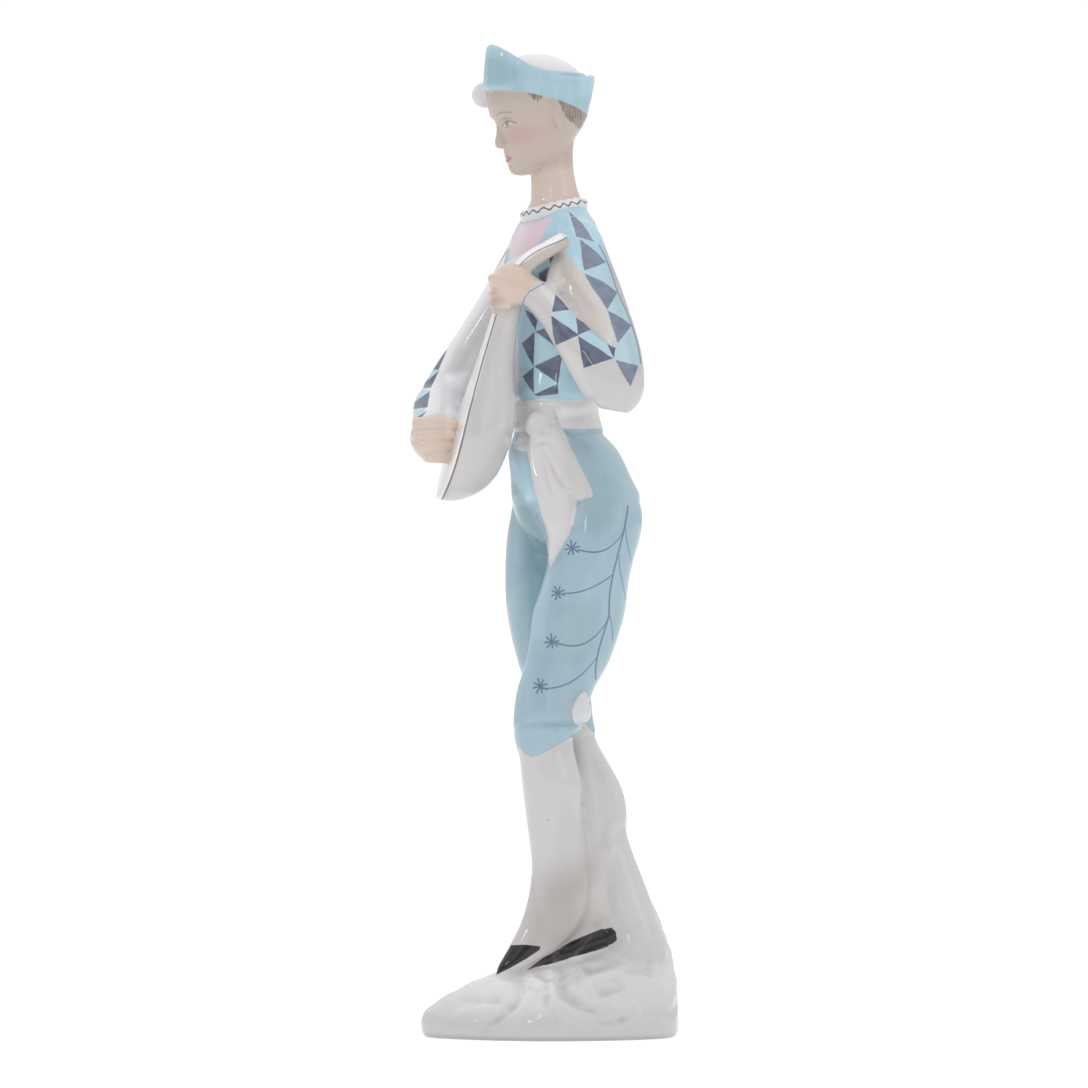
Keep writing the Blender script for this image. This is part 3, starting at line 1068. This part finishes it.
# Blue of the near shoulder, pink of the shirt and the black of the shoes
patches = {
    "shoulder": [[(540, 198), (588, 198), (601, 236), (611.5, 264), (606, 264.2), (584.6, 273.6),
                  (575, 259), (566, 250), (552, 240)]],
    "hatFold": [[(486, 56), (498, 59), (521, 73), (515, 80), (500, 86), (484, 88)]],
    "cuff": [[(524.4, 309), (523.2, 302.5), (525.8, 296.4), (529.7, 291.8), (536.6, 287.6), (544.2, 283.4),
              (556, 292), (552, 320), (532, 322)]],
    "jacketPale": [[(545, 352), (590, 372), (590, 398), (558, 400)]],
    "jacketCorner": [[(500, 381), (516.5, 381), (521.8, 406), (500, 406)]],
    "pegSide": [[(519, 267), (536, 253), (552, 246), (569, 238), (573, 246), (552, 256), (528, 272)]],
    "pegTop": [[(514, 263), (536, 244), (552, 236), (569, 228), (572, 234.5), (552, 244.2), (536, 251),
                (520, 265)]],
    "crotch": [[(511, 484), (524, 490), (540, 508), (550, 526), (553, 562), (545, 575), (532, 548),
                (517, 516), (510, 500)]],
    "crease": [[(520, 722), (586, 719), (586, 726.5), (556, 728), (520, 729)]],
    "tuftSmudge": [[(568, 700), (578, 700), (580, 722), (570, 722)]],
    "outerSeam": [[(602.5, 245), (609, 258), (619, 291), (630, 315), (650, 315), (650, 245)],
                  [(629, 313), (636, 330), (642, 350), (644, 366), (655, 366), (655, 313)]],
    "pink": [
        [(521.4, 224), (553, 216.5), (534, 250), (526, 268), (500.2, 268), (503.7, 256.6), (508.4, 246),
         (514, 236)],
        [(534.5, 246), (526, 268), (519, 300), (500, 268), (503, 250)],
        [(512, 336), (517.4, 334), (518.2, 361), (519, 382), (512, 383)],
    ],
    "shoes": [
        [(496, 974.9), (496, 969), (502.7, 958.8), (511.4, 944.8), (527, 945), (540.8, 946.4), (539.7, 950),
         (526.7, 958.8), (509.2, 968.8)],
        [(526.3, 970.3), (541.9, 958.8), (557.2, 950), (572.4, 942.4), (580, 953), (566, 958.4), (548, 963),
         (535, 967.6)],
        [(556, 950.6), (572.4, 942), (587.7, 936), (600.8, 930.2), (611.7, 927.4), (616.5, 931.5),
         (616.8, 940.3), (612.8, 943.7), (600.8, 948.2), (585, 953), (562, 958.6)],
    ],
    "sash": [
        [(496, 424), (530, 424), (532, 453), (516, 449.5), (503, 446)],
        [(515, 401), (548, 401), (563, 429.6), (556, 447), (532, 450), (516, 440)],
        [(522, 430), (562.5, 429), (592.8, 493), (591.5, 497.4), (577, 500.4), (538.2, 500.4)],
        [(534, 485), (577.5, 498), (574.9, 506.6), (573.7, 525), (545.8, 527.5), (540.2, 510)],
        [(544.6, 521), (574, 519), (568.1, 536.6), (548.5, 541)],
        [(547.9, 535), (569, 534), (560.3, 546.8), (553.6, 559.1), (550.6, 567), (549, 562)],
    ],
    "inner": [[(526, 500), (540, 504), (556, 560), (552, 600), (534, 645), (525, 600), (522, 545)]],
    "ankle": [[(548, 885), (584, 872), (590, 912), (566, 950), (526, 950)]],
    "belly": [[(500, 305), (491.7, 330), (478.5, 376), (467, 421.8), (454.4, 467.8), (441.2, 501),
               (420, 505), (440, 420), (480, 320)]],
    "speck": [[(547.2, 819.3), (548.9, 819.3), (548.9, 821), (547.2, 821)]],
    "olive": [[(515, 448.5), (524, 452), (526, 464), (520, 462)]],
    "innerArm": [[(560, 250), (576, 262), (606, 325), (600, 342), (574, 306), (556, 268)]],
    "nearBare": [[(512, 746.5), (520.5, 748), (526, 756), (526, 770), (512, 770)],
                 [(523.5, 753.6), (530, 759.2), (541, 762), (541, 770), (522, 770)]],
    "farBare": [[(566, 716), (583.5, 720.5), (598, 739), (598, 746), (566, 746)]],
    "farDark": [
        [(447, 350), (442.9, 357.6), (438.3, 369.4), (428, 369)],
        [(438.6, 371.4), (431, 387.2), (419, 389), (419, 387.4), (428, 381)],
        [(430, 391.4), (427.2, 407.3), (411, 408.7), (411, 404.5), (418.8, 399.3)],
        [(426, 412), (412, 428), (406, 424), (412.5, 420.3)],
    ],
    "farLight": [
        [(430, 365.6), (436, 368.4), (439.6, 370.2), (428, 381), (418, 382)],
        [(416, 388.6), (422.2, 389), (430.4, 390.2), (418.8, 399.8), (412, 400)],
        [(409, 408.6), (426.4, 407.6), (424, 412), (412.5, 421), (406, 421)],
    ],
}
sprays = {
    "stem": [(627.8, 505.7), (626.5, 519), (620.8, 542), (614.4, 571.4), (611.2, 581.6), (609.7, 597),
             (609.3, 614.8)],
    "lowerStem": [(609.3, 614), (606.7, 623.7), (601.6, 640.3), (597.2, 656.9), (596, 666), (595.9, 680)],
    "branches": [
        [(578, 549.7), (586.3, 552), (596.5, 552), (606.7, 549.1), (615.7, 542.7), (622, 534.4)],
        [(563.4, 593.4), (573.6, 593.1), (583.8, 590.6), (594, 586.7), (604.2, 581), (613.1, 574.6)],
        [(553, 641.9), (560, 644.2), (568.5, 646), (577.4, 645.7), (586.3, 642.2), (596.5, 635.2),
         (604.2, 626.3), (609.3, 617.3)],
        [(541, 688.6), (550.6, 688.6), (560.8, 686.5), (571, 681.8), (581.2, 674.7), (590.2, 666.5),
         (596.9, 656.9)],
    ],
    "mirrored": [
        [(625.9, 529.3), (627.1, 542), (629.7, 553.6), (631.2, 561.2)],
        [(619.2, 556), (620.8, 574), (623.3, 586.7), (625.4, 600)],
        [(609.9, 616), (611.8, 625), (612.3, 640.3)],
    ],
    "stars": [((572.3, 548.2), 7.6, 0.2), ((557.9, 593.1), 7.2, 0.45), ((551.9, 641.8), 7.6, 0.1),
              ((540.2, 686.2), 7.8, 0.3)],
}

# Uneven firing: outline on the sheet, softness of its border, and the brightness of the glaze inside it
tones = [
    ([(455, 990), (500, 968), (540, 955), (565, 948), (560, 985), (548, 1012), (500, 1018),
      (462, 1014)], 9, 1.08),
    ([(512, 962), (540, 950), (575, 938), (600, 932), (585, 960), (560, 985), (530, 990)], 8, 1.15),
    ([(596, 978), (640, 966), (668, 975), (660, 992), (610, 1000), (585, 992)], 8, 0.94),
    ([(620, 920), (655, 925), (664, 955), (640, 960), (618, 940)], 7, 0.96),
    ([(562, 800), (588, 830), (590, 870), (570, 905), (545, 915), (556, 860)], 8, 0.95),
    ([(592, 755), (606, 770), (614, 810), (610, 850), (600, 850), (594, 800)], 5, 0.93),
    ([(575, 895), (600, 885), (606, 915), (575, 925)], 6, 1.09),
    ([(560, 440), (590, 440), (618, 490), (616, 520), (596, 535), (580, 530), (566, 490)], 8, 0.88),
    ([(550, 605), (600, 600), (598, 650), (580, 665), (548, 660)], 8, 0.92),
    ([(514, 565), (524, 565), (527, 660), (516, 665)], 4, 0.93),
    ([(533, 575), (551, 572), (544, 640), (533, 636)], 4, 1.1),
    ([(535, 655), (585, 655), (585, 716), (535, 714)], 6, 0.94),
    ([(506, 438), (520, 440), (529, 470), (536, 500), (526, 502), (512, 480)], 4, 1.36),
    ([(515, 508), (527, 504), (540, 516), (549, 534), (548, 556), (532, 552), (522, 532)], 4, 0.76),
    ([(494, 290), (502, 300), (480, 345), (462, 372), (446, 372), (455, 350), (475, 318)], 6, 0.77),
    ([(480, 330), (494, 326), (488, 395), (480, 435), (466, 435), (472, 385)], 4, 0.94),
    ([(447, 375), (468, 372), (460, 405), (446, 410)], 5, 1.18),
    ([(446, 410), (458, 410), (455, 438), (446, 438)], 3, 1.15),
    ([(505, 318), (524, 303), (515, 400), (514, 430), (500, 430), (500, 370)], 5, 1.12),
    ([(478, 499), (500, 470), (510, 440), (518, 450), (508, 475), (485, 502)], 5, 1.14),
    ([(430, 466), (452, 466), (447, 512), (428, 512)], 5, 0.9),
    ([(513, 394), (523, 394), (523, 442), (511, 444)], 3, 1.36),
    ([(560, 404), (600, 400), (600, 414), (560, 420)], 5, 1.1),
    ([(556, 345), (574, 352), (590, 392), (576, 402), (556, 392)], 6, 1.1),
    ([(578, 262), (592, 280), (606, 310), (618, 340), (608, 345), (590, 310), (576, 280)], 5, 1.1),
    ([(600, 238), (612, 262), (628, 300), (641, 350), (644, 372), (634, 374), (624, 330), (610, 284),
      (598, 248)], 4, 0.9),
    ([(533, 266), (545, 272), (562, 298), (566, 312), (556, 310), (540, 290)], 3, 1.2),
    ([(480, 58), (500, 48), (520, 66), (518, 94), (494, 94)], 8, 0.95),
    ([(578, 74), (597, 70), (597, 92), (582, 97)], 5, 1.12),
    ([(566, 214), (573, 214), (598, 242), (576, 238)], 2, 1.14),
    ([(528, 170), (576, 166), (576, 202), (528, 208)], 6, 1.2),
]


def patch(name, low=-0.4, high=0.4):
    # paint inside any of a patch's convex outlines, soft from low to high shares inside
    return edge(most([polygon(outline) for outline in patches[name]]), low, high)


def placeIn(axes, middle, size, ways):
    # the spot in a form's own frame: its way from the middle along each of the frame's ways
    away = vectorNode("SUBTRACT", spot, tuple(middle))
    return [vectorNode("DOT_PRODUCT", away, tuple(axes[way] / size)) for way in ways]


# Clay and zone colours
clay = laid("clay", "warmClay", edge(noise(spot, 22.0), 0.35, 0.7, 0.0, 0.3))
clay = laid(clay, "footClay", patch("ankle", -34.0, 16.0), nearSide)
clay = laid(clay, "armClay", patch("innerArm", -7.0, 7.0), nearSide, 0.9)
clay = laid(clay, "rock", edge(field("mound"), -2.5, 1.0))
clay = laid(clay, "farSleeve", edge(field("farSleeve"), -0.3, 0.6))
clay = laid(clay, "sash", edge(field("sash"), -0.3, 0.3))
clay = laid(clay, "speck", patch("speck", -0.7, 0.5), nearSide, 0.55)
strokes = noise(combined(times(spotX, 330.0), times(spotY, 330.0), times(spotZ, 28.0)), 1.0, 3.0)
wash = plus(edge(noise(spot, 75.0, 3.0), 0.3, 0.72, 0.0, 0.12), edge(strokes, 0.35, 0.65, 0.0, 0.16))


def washed(tone):
    # blue glaze: uneven, and deeper where it pools
    return laid(laid(tone, "deepBlue", wash), "deepBlue", edge(field("wideHollow"), -0.02, 0.45, 0.0, 0.75))


blue, legBlue = washed("blue"), washed("legBlue")
legBlue = laid(legBlue, "inner", patch("inner", -9.0, 9.0), nearSide, edge(spotY, -0.0075, -0.0045), 0.85)
legBlue = laid(legBlue, "deepBlue", patch("crease", -2.0, 3.0), nearSide,
               edge(sheetAcross, 525.0, 572.0, 0.25, 0.95))
crotch = times(patch("crotch", -4.0, 4.0), nearSide, edge(spotY, -0.0115, -0.0095))
legBlue = laid(legBlue, "deepBlue", crotch, 0.8)
legBlue = laid(legBlue, "ochre", patch("tuftSmudge", -4.0, 3.0), nearSide, 0.3)
colour = laid(clay, blue, edge(field("jacket"), -0.12, 0.12))
colour = laid(colour, laid("lute", "soundboard", patch("belly", -1.0, 1.0)), edge(field("lute"), -0.1, 0.1))
heightShares = divided(spotZ, share)
sashPaint = larger(patch("sash", -1.3, 1.0), edge(heightShares, 607.0, 609.0))
sashPaint = larger(sashPaint, edge(field("towards"), 0.1, -0.15))
tailSide = times(edge(field("sash"), -0.2, 0.2), minus(1.0, sashPaint))
sashSkin = times(patch("sash", -1.3, 1.0), nearSide, edge(spotY, -0.004, -0.006))
breeches = edge(field("breeches"), -0.25, 0.25)
colour = laid(colour, legBlue, larger(breeches, tailSide))
colour = laid(colour, "sash", breeches, sashSkin)
colour = laid(colour, "olive", patch("olive", -2.0, 3.0), nearSide, breeches, 0.45)
farBare = times(patch("farBare"), nearSide, edge(spotY, -0.009, -0.006))
colour = laid(colour, clay, larger(patch("nearBare"), farBare), edge(spotZ, 0.112, 0.109))
shoulder = laid("shoulder", "blue", wash, 1.6)
colour = laid(colour, shoulder, edge(field("jacket"), -0.12, 0.12), edge(spotZ, 0.248, 0.262, 0.0, 0.8))
onSleeve = edge(field("nearSleeve"), -0.1, 0.1)
colour = laid(colour, shoulder, patch("shoulder", -0.8, 0.8), nearSide, onSleeve)

# Shirt front: pink, paler to its left, with fine pale lines
jacket = edge(field("jacket"), -0.05, 0.15)
hemLine = minus(heightShares, scaled(noise(spot, 110.0), 8.0, 633.0))
underHem = larger(edge(hemLine, 0.5, -0.5), times(patch("jacketCorner"), nearSide))
colour = laid(colour, "sash", underHem, jacket)
pleat = plus(sheetAcross, times(sheetDown, 0.52))
pink = laid("palePink", "pink", edge(pleat, 638.0, 662.0, 0.15, 1.0))
pink = laid(pink, "crown", edge(pingPong(pleat, 1.3), 0.8, 1.2), 0.55, edge(pleat, 650.0, 660.0))
colour = laid(colour, pink, patch("pink"), nearSide, jacket)

# Diamonds
nearBrush = {}
for name, outlines in diamonds.items():
    low = -0.7 if "Dark" in name else -1.1
    nearBrush[name] = times(edge(most([polygon(p) for p in outlines]), low, low + 0.8), nearSide)
sleeve = edge(field("nearSleeve"), -0.05, 0.15)
brushed = edge(noise(spot, 420.0, 2.0), 0.25, 0.75, 0.0, 0.8)
slate = laid("slate", tuple(1.5 * v for v in glazeShades["slate"]), brushed)
paleSlate = laid("paleSlate", tuple(1.3 * v for v in glazeShades["paleSlate"]), brushed)
colour = laid(colour, "lightBlue", patch("jacketPale", -6.0, 6.0), jacket, nearSide, 0.6)
colour = laid(colour, "upperBlue", nearBrush["sleeveLight"], sleeve)
colour = laid(colour, "lightBlue", nearBrush["foreLight"], sleeve)
colour = laid(colour, paleSlate, nearBrush["upperDark"], larger(sleeve, jacket))
colour = laid(colour, slate, nearBrush["sleeveDark"], sleeve)
colour = laid(colour, "lightBlue", nearBrush["jacketLight"], jacket)
colour = laid(colour, slate, nearBrush["jacketDark"], jacket)

# Jacket all round, past the near side: six columns of halved diamonds, by the angle round the trunk
chestForward, chestLeft = placeIn(chest, (0.0022, 0.0, 0.0), 1.0, ("forward", "left"))
roundTrunk = arcTangent(chestLeft, chestForward)
column = minus(fraction(scaled(roundTrunk, 3 / math.pi, 0.5 - 10 / 60 + 2)), 0.5)
climb = pingPong(times(spotZ, 1 / (33 * share)), 0.5)
halfWide = times(climb, 0.62)
sideways = absolute(column)
inDiamond = times(minus(halfWide, sideways), 60.0)
leftHalf = times(column, -60.0)
behind = minus(absolute(minus(roundTrunk, math.radians(38))), math.radians(66))
tall = smaller(minus(heightShares, 635.0), minus(790.0, heightShares))
allRound = times(jacket, edge(behind, 0.0, 0.02), edge(tall, -0.5, 0.5))
colour = laid(colour, "lightBlue", edge(inDiamond), allRound)
colour = laid(colour, slate, edge(least([inDiamond, leftHalf])), allRound)

# Far sleeve: teeth of slate and light blue, and the same in a band round its hidden side, between two edges
farSleeve = edge(field("farSleeve"), -0.05, 0.15)
acrossBand, alongBand = field("farRound"), field("farAlong")
tooth = pingPong(times(alongBand, 1 / 7.4), 0.5)
toothEdge = minus(times(tooth, 22.0), plus(acrossBand, 5.5))
band = least([minus(5.5, absolute(acrossBand)), minus(alongBand, 12.0)])
bandMask = times(edge(band, -0.1, 0.1), farSleeve, minus(1.0, nearSide))
colour = laid(colour, laid("lightBlue", slate, edge(toothEdge, -0.12, 0.12)), bandMask)
colour = laid(colour, "lightBlue", patch("farLight", -0.6, 0.2), farSleeve, nearSide)
colour = laid(colour, slate, patch("farDark", -0.6, 0.2), farSleeve, nearSide)

# Shoes
feet = edge(most([field("stockings"), field("shoe")]), -0.6, -0.3)
farSide = edge(field("towards"), 0.1, -0.1)
farShoe = times(edge(field("shoe"), -0.1, 0.1), larger(farSide, patch("shoes", -1.5, -0.5)))
shoeBlack = larger(times(patch("shoes"), nearSide, feet), farShoe)
strap = stroke([(574.6, 955.5), (583, 946), (592, 936)], 1.6)
colour = laid(colour, laid("shoe", "strap", edge(strap, -1.2, 1.2)), shoeBlack)

# Brush lines of the sprays, on the outer side of both legs
farLeg = edge(spotY, 0.0, 0.004)
legAcross = plus(sheetAcross, times(farLeg, scaled(sheetDown, -0.33, 231.0)))
legPlace = (legAcross, sheetDown)
lines = [stroke(sprays["stem"], 0.72, True, legPlace), stroke(sprays["lowerStem"], 0.72, True, legPlace)]
lines += [stroke(points, 0.62, False, legPlace) for points in sprays["branches"]]
lines += [stroke(points, 0.4, True, legPlace) for points in sprays["mirrored"]]
lines += [star(*each) for each in sprays["stars"]]
outerSide = edge(minus(absolute(minus(spotY, 0.0005)), 0.0095), 0.0, 0.001)
colour = laid(colour, "sprayLine", edge(most(lines), -0.5, 0.45), outerSide,
              edge(field("breeches"), 0.0, 0.3), 0.8)

# Thin lines: cuff, edge of the near sleeve, edge of the lute's belly, under the peg box
cuffs = most([
    stroke([(524.4, 309), (523.2, 302.5), (525.8, 296.4), (529.7, 291.8)], 0.5, True),
    stroke([(529.7, 291.8), (536.6, 287.6), (544.2, 283.4)], 0.5),
    stroke([(599, 245), (605.2, 256), (608, 265.8), (612.2, 274), (617.1, 291)], 0.6, True),
    stroke([(617.1, 291), (627.3, 313.5), (634, 332.6), (638.8, 349), (640.7, 363.3)], 0.6, True),
])
colour = laid(colour, "seam", patch("outerSeam", -0.7, 0.7), nearSide, sleeve, 0.8)
handOrSleeve = edge(larger(field("nearSleeve"), field("flesh")), -0.05, 0.15)
colour = laid(colour, "line", edge(cuffs, -0.5, 0.5), nearSide, handOrSleeve, 0.75)
lutePaint = edge(field("lute"), -0.1, 0.1)
colour = laid(colour, "pegTop", patch("pegTop", -0.4, 0.6), lutePaint)
colour = laid(colour, "pegSide", patch("pegSide", -1.5, 2.0), nearSide, lutePaint, 0.85)
farEdge = stroke([(507, 251), (495, 269), (484, 286), (472, 305), (460, 324), (450, 340), (444, 352)], 0.75)
colour = laid(colour, "line", edge(farEdge, -0.5, 0.5), edge(field("towards"), -0.25, 0.0), farSleeve, 0.6)
luteLines = most([
    stroke([(497, 313), (491.7, 330), (485.4, 353), (478.5, 376), (472.7, 399)], 0.75, True),
    stroke([(472.7, 399), (467, 421.8), (461.3, 444.8), (454.4, 467.8), (447.5, 489.6),
            (441.2, 500.6)], 0.9, True),
    stroke([(519.3, 265.8), (525.8, 259.7), (536.6, 251.6), (548, 245.9), (559.5, 241.7),
            (568, 236.7)], 0.6),
])
onLute = times(nearSide, edge(field("lute"), -0.3, 0.1))
colour = laid(colour, "luteLine", edge(luteLines, -0.5, 0.5), onLute, 0.85)

# Head: flesh, blush, lips, eyes, brows and painted hair, in the head's own frame
headForward, headLeft, headUp = placeIn(headAxes, headMiddle, share, ("forward", "left", "up"))
mirrored = absolute(headLeft)
# the hat's painted border: an arch over the temples in the hat's own frame
hatLeft, hatUp = placeIn(hatAxes, hatMiddle, share, ("left", "up"))
hatSide = times(hatLeft, 1 / 39.7)
overBorder = minus(hatUp, scaled(times(hatSide, hatSide), 4.4, 0.2))
skinOrHat = edge(larger(field("flesh"), field("hat")), -0.3, -0.1)
underHat = minus(1.0, edge(overBorder, -0.5, 0.5))
behindCuff = times(patch("cuff", -1.4, -0.9), edge(spotY, -0.0125, -0.0145))
flesh = times(skinOrHat, underHat, minus(1.0, behindCuff))
faceTone = laid("flesh", "duskFlesh", edge(headUp, -22.0, 22.0, 0.0, 0.75))
colour = laid(colour, laid(faceTone, "hand", edge(spotZ, 0.252, 0.248)), flesh)


def oval(across, up, halfAcross, halfUp):
    # 1 at the middle and 0 on the rim: one less the squares of both shares of the half sizes
    x = times(minus(mirrored, across), 1 / halfAcross)
    y = times(minus(headUp, up), 1 / halfUp)
    return minus(1.0, plus(times(x, x), times(y, y)))


facePlace = (mirrored, headUp)
ahead = times(flesh, edge(headForward, 12.0, 18.0))
cheeks = times(edge(oval(21, -11, 17, 13), 0.0, 1.0), flesh, edge(headForward, -5.0, 15.0))
colour = laid(colour, "blush", cheeks, 0.55)
colour = laid(colour, "crown", edge(oval(15.6, 2.4, 6.4, 2.3), 0.0, 0.5), ahead, 0.35)
irises = edge(least([oval(15.2, 2.6, 2.5, 2.7), minus(4.6, headUp)]), 0.0, 0.4)
colour = laid(colour, "line", irises, ahead, 0.7)
lids = most([stroke([(8.6, 1.6), (12, 4.4), (16, 5.2), (20, 4.2), (23.4, 1.8)], 0.5, False, facePlace),
             stroke([(11, 0.2), (15, -0.8), (20, 0.4)], 0.14, False, facePlace),
             stroke([(10, 8), (15, 9), (21, 7.4)], 0.1, False, facePlace)])
brows = stroke([(7.5, 12.6), (12, 14.8), (17, 15.4), (25, 12.8)], 0.55, False, facePlace)
colour = laid(colour, "hairStroke", edge(lids, -0.5, 0.5), ahead, 0.85)
colour = laid(colour, "hair", edge(brows, -0.6, 0.5), ahead, 0.8)
lips = most([least([oval(0, -31.6, 7.6, 3.2), plus(headUp, 31.6)]),
             least([oval(0, -31.6, 6.6, 4.2), minus(-31.6, headUp)])])
colour = laid(colour, "lip", edge(lips, -0.05, 0.35), ahead, 0.72)
hairPlace = combined(headForward, headUp, 1.0)
hairline = most([
    polygon([(-9, 40), (-8.5, 12), (-9.3, 1.8), (-16.5, -10), (-29, -24), (-70, -24), (-70, 40)],
            hairPlace),
    polygon([(24, 40), (20.4, 30.8), (12.4, 17.1), (6, 19), (0, 40)], hairPlace),
])
strands = noise(combined(scaled(headUp, 0.25, headForward), times(headUp, 0.07), times(headLeft, 0.5)), 0.9)
hairEdge = plus(hairline, scaled(strands, 9.0, -4.5))
hairTone = laid("hair", "hairStroke", edge(strands, 0.42, 0.6))
colour = laid(colour, hairTone, edge(hairEdge, -0.8, 0.8), flesh, edge(headUp, -40.0, -30.0), 0.85)

# Hat, with its rims a little worn of colour, crown and tufts
rim = edge(field("narrowHollow"), -0.03, -0.16, 0.0, 0.75)
blue = laid(blue, "deepBlue", patch("hatFold", -4.0, 4.0), nearSide, 0.45)
colour = laid(colour, laid(blue, "upperBlue", rim), skinOrHat, edge(overBorder, -0.5, 0.5))
colour = laid(colour, "crown", edge(field("crown"), -0.1, 0.1), edge(overBorder, 5.0, 7.0))
colour = laid(colour, "tuft", edge(field("tufts"), -0.3, 0.2))

# Collar: white with a wavering dark line on its upper edge, by the angle round it
colour = laid(colour, "crown", edge(field("collar"), -0.1, 0.1), 0.7)
collarForward, collarLeft, collarUp = placeIn(collarAxes, collarMiddle, 0.001, ("forward", "left", "up"))
roundCollar = arcTangent(collarLeft, collarForward)
outCollar = vectorNode("LENGTH", combined(collarForward, times(collarLeft, 1.06), 0.0), (0, 0, 0))
wave = sine(scaled(roundCollar, float(collarShape["waves"]), times(sine(times(roundCollar, 5.0)), 0.8)))
ribbon = minus(scaled(wave, 0.5, 0.6), collarUp)
ribbonLine = least([minus(0.29, absolute(ribbon)), minus(outCollar, 9.0)])
colour = laid(colour, "ribbon", edge(ribbonLine, -0.12, 0.12), edge(field("collar"), -0.6, -0.1), 0.9)

# Pooled glaze: greyer and warmer in the hollows, ochre in the deep ones of the rock
rock = edge(field("mound"), -1.5, 1.5)
colour = laid(colour, "pool", edge(field("narrowHollow"), 0.005, 0.16, 0.0, 0.28), scaled(rock, -0.75, 1.0))
colour = laid(colour, "rockPool", edge(field("wideHollow"), -0.06, 0.6), rock, 0.22)
colour = laid(colour, "ochre", edge(noise(spot, 130.0), 0.55, 0.75), edge(field("wideHollow"), 0.0, 0.4),
              rock, 0.16)

# Brightness: the tones above on the near side, and a shade towards the foot of the rock
tone = 1.0
for corners, softness, gain in tones:
    tone = times(scaled(edge(polygon(corners), -softness, softness), gain - 1, 1.0), tone)
tone = scaled(nearSide, minus(tone, 1.0), 1.0)
tone = times(tone, edge(spotZ, 0.002, 0.019, 0.84, 1.0))
tone = times(tone, edge(spotZ, 0.0003, 0.0022, 0.72, 1.0))
links.new(vectorNode("MULTIPLY", colour, combined(tone, tone, tone)), shader.inputs["Base Color"])

casting.materials.clear()
casting.materials.append(glaze)
casting.shade_smooth()
piece = bpy.data.objects.new("porcelainFigure", casting)
bpy.context.collection.objects.link(piece)
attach(piece, "root")
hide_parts("porcelain_figure")
print("glaze laid on")

# Studio: pale floor, surround white behind the figure, dimmer in front, bright overhead, and soft lamps
studio = {"floorHalf": 3.0, "behind": 1.08, "beside": 0.70, "front": 0.46, "above": 0.78, "key": 2.0,
          "fill": 3.4, "glint": 0.8, "window": 1.4}
bpy.context.scene.view_settings.view_transform = "Standard"
# the floor is a circle
floorTurn = np.linspace(0, 2 * math.pi, 64, endpoint=False)
floorRing = np.stack((np.cos(floorTurn), np.sin(floorTurn), np.zeros(64)), 1) * studio["floorHalf"]
floorMesh = bpy.data.meshes.new("studioFloor")
floorMesh.from_pydata(floorRing.tolist(), [], [list(range(64))])
floor = bpy.data.objects.new("studioFloor", floorMesh)
bpy.context.collection.objects.link(floor)
paper = bpy.data.materials.new("paleFloor")
paper.use_nodes = True
paperShader = paper.node_tree.nodes["Principled BSDF"]
paperShader.inputs["Base Color"].default_value = (0.3, 0.3, 0.3, 1)
paperShader.inputs["Roughness"].default_value = 1.0
paperShader.inputs["Specular IOR Level"].default_value = 0.0
paperShader.inputs["Emission Color"].default_value = (1, 1, 1, 1)
paperShader.inputs["Emission Strength"].default_value = 0.8
floorMesh.materials.append(paper)


def softLight(name, spot, aim, size, power):
    data = bpy.data.lights.new(name, "AREA")
    data.shape = "RECTANGLE"
    data.size, data.size_y = size
    data.energy = power
    lamp = bpy.data.objects.new(name, data)
    lamp.location = spot
    away = np.array(spot) - np.array(aim)
    lamp.rotation_euler = (math.acos(away[2] / np.linalg.norm(away)), 0,
                           math.atan2(away[1], away[0]) + math.pi / 2)
    bpy.context.collection.objects.link(lamp)


softLight("keyLight", (-1.2, -1.7, 1.3), (0, 0, 0.17), (0.9, 1.2), studio["key"])
softLight("fillLight", (1.7, -1.3, 0.8), (0, 0, 0.17), (1.2, 1.2), studio["fill"])
softLight("glintLight", (-0.75, -2.1, 0.75), (0, 0, 0.17), (0.1, 0.32), studio["glint"])
softLight("windowLight", (-1.7, -1.0, 0.85), (0, 0, 0.17), (0.14, 0.24), studio["window"])
world = bpy.data.worlds.new("studioWorld")
world.use_nodes = True
worldNodes, worldLinks = world.node_tree.nodes, world.node_tree.links
look = worldNodes.new("ShaderNodeTexCoord")
split = worldNodes.new("ShaderNodeSeparateXYZ")
worldLinks.new(look.outputs["Generated"], split.inputs[0])
total = None
for way, low, high, bottom, top in (
        ("Y", -0.5, 0.7, studio["front"], studio["beside"]),
        ("Y", 0.93, 0.99, 0.0, studio["behind"] - studio["beside"]),
        ("Z", 0.12, 1.0, 0.0, studio["above"])):
    ramp = worldNodes.new("ShaderNodeMapRange")
    ramp.interpolation_type = "SMOOTHSTEP" if way == "Y" else "LINEAR"
    for socket, value in (("From Min", low), ("From Max", high), ("To Min", bottom), ("To Max", top)):
        ramp.inputs[socket].default_value = value
    worldLinks.new(split.outputs[way], ramp.inputs["Value"])
    if total is None:
        total = ramp.outputs["Result"]
        continue
    added = worldNodes.new("ShaderNodeMath")
    worldLinks.new(total, added.inputs[0])
    worldLinks.new(ramp.outputs["Result"], added.inputs[1])
    total = added.outputs[0]
worldLinks.new(total, worldNodes["Background"].inputs["Strength"])
worldNodes["Background"].inputs["Color"].default_value = (1, 1, 1, 1)
bpy.context.scene.world = world
print("studio set")
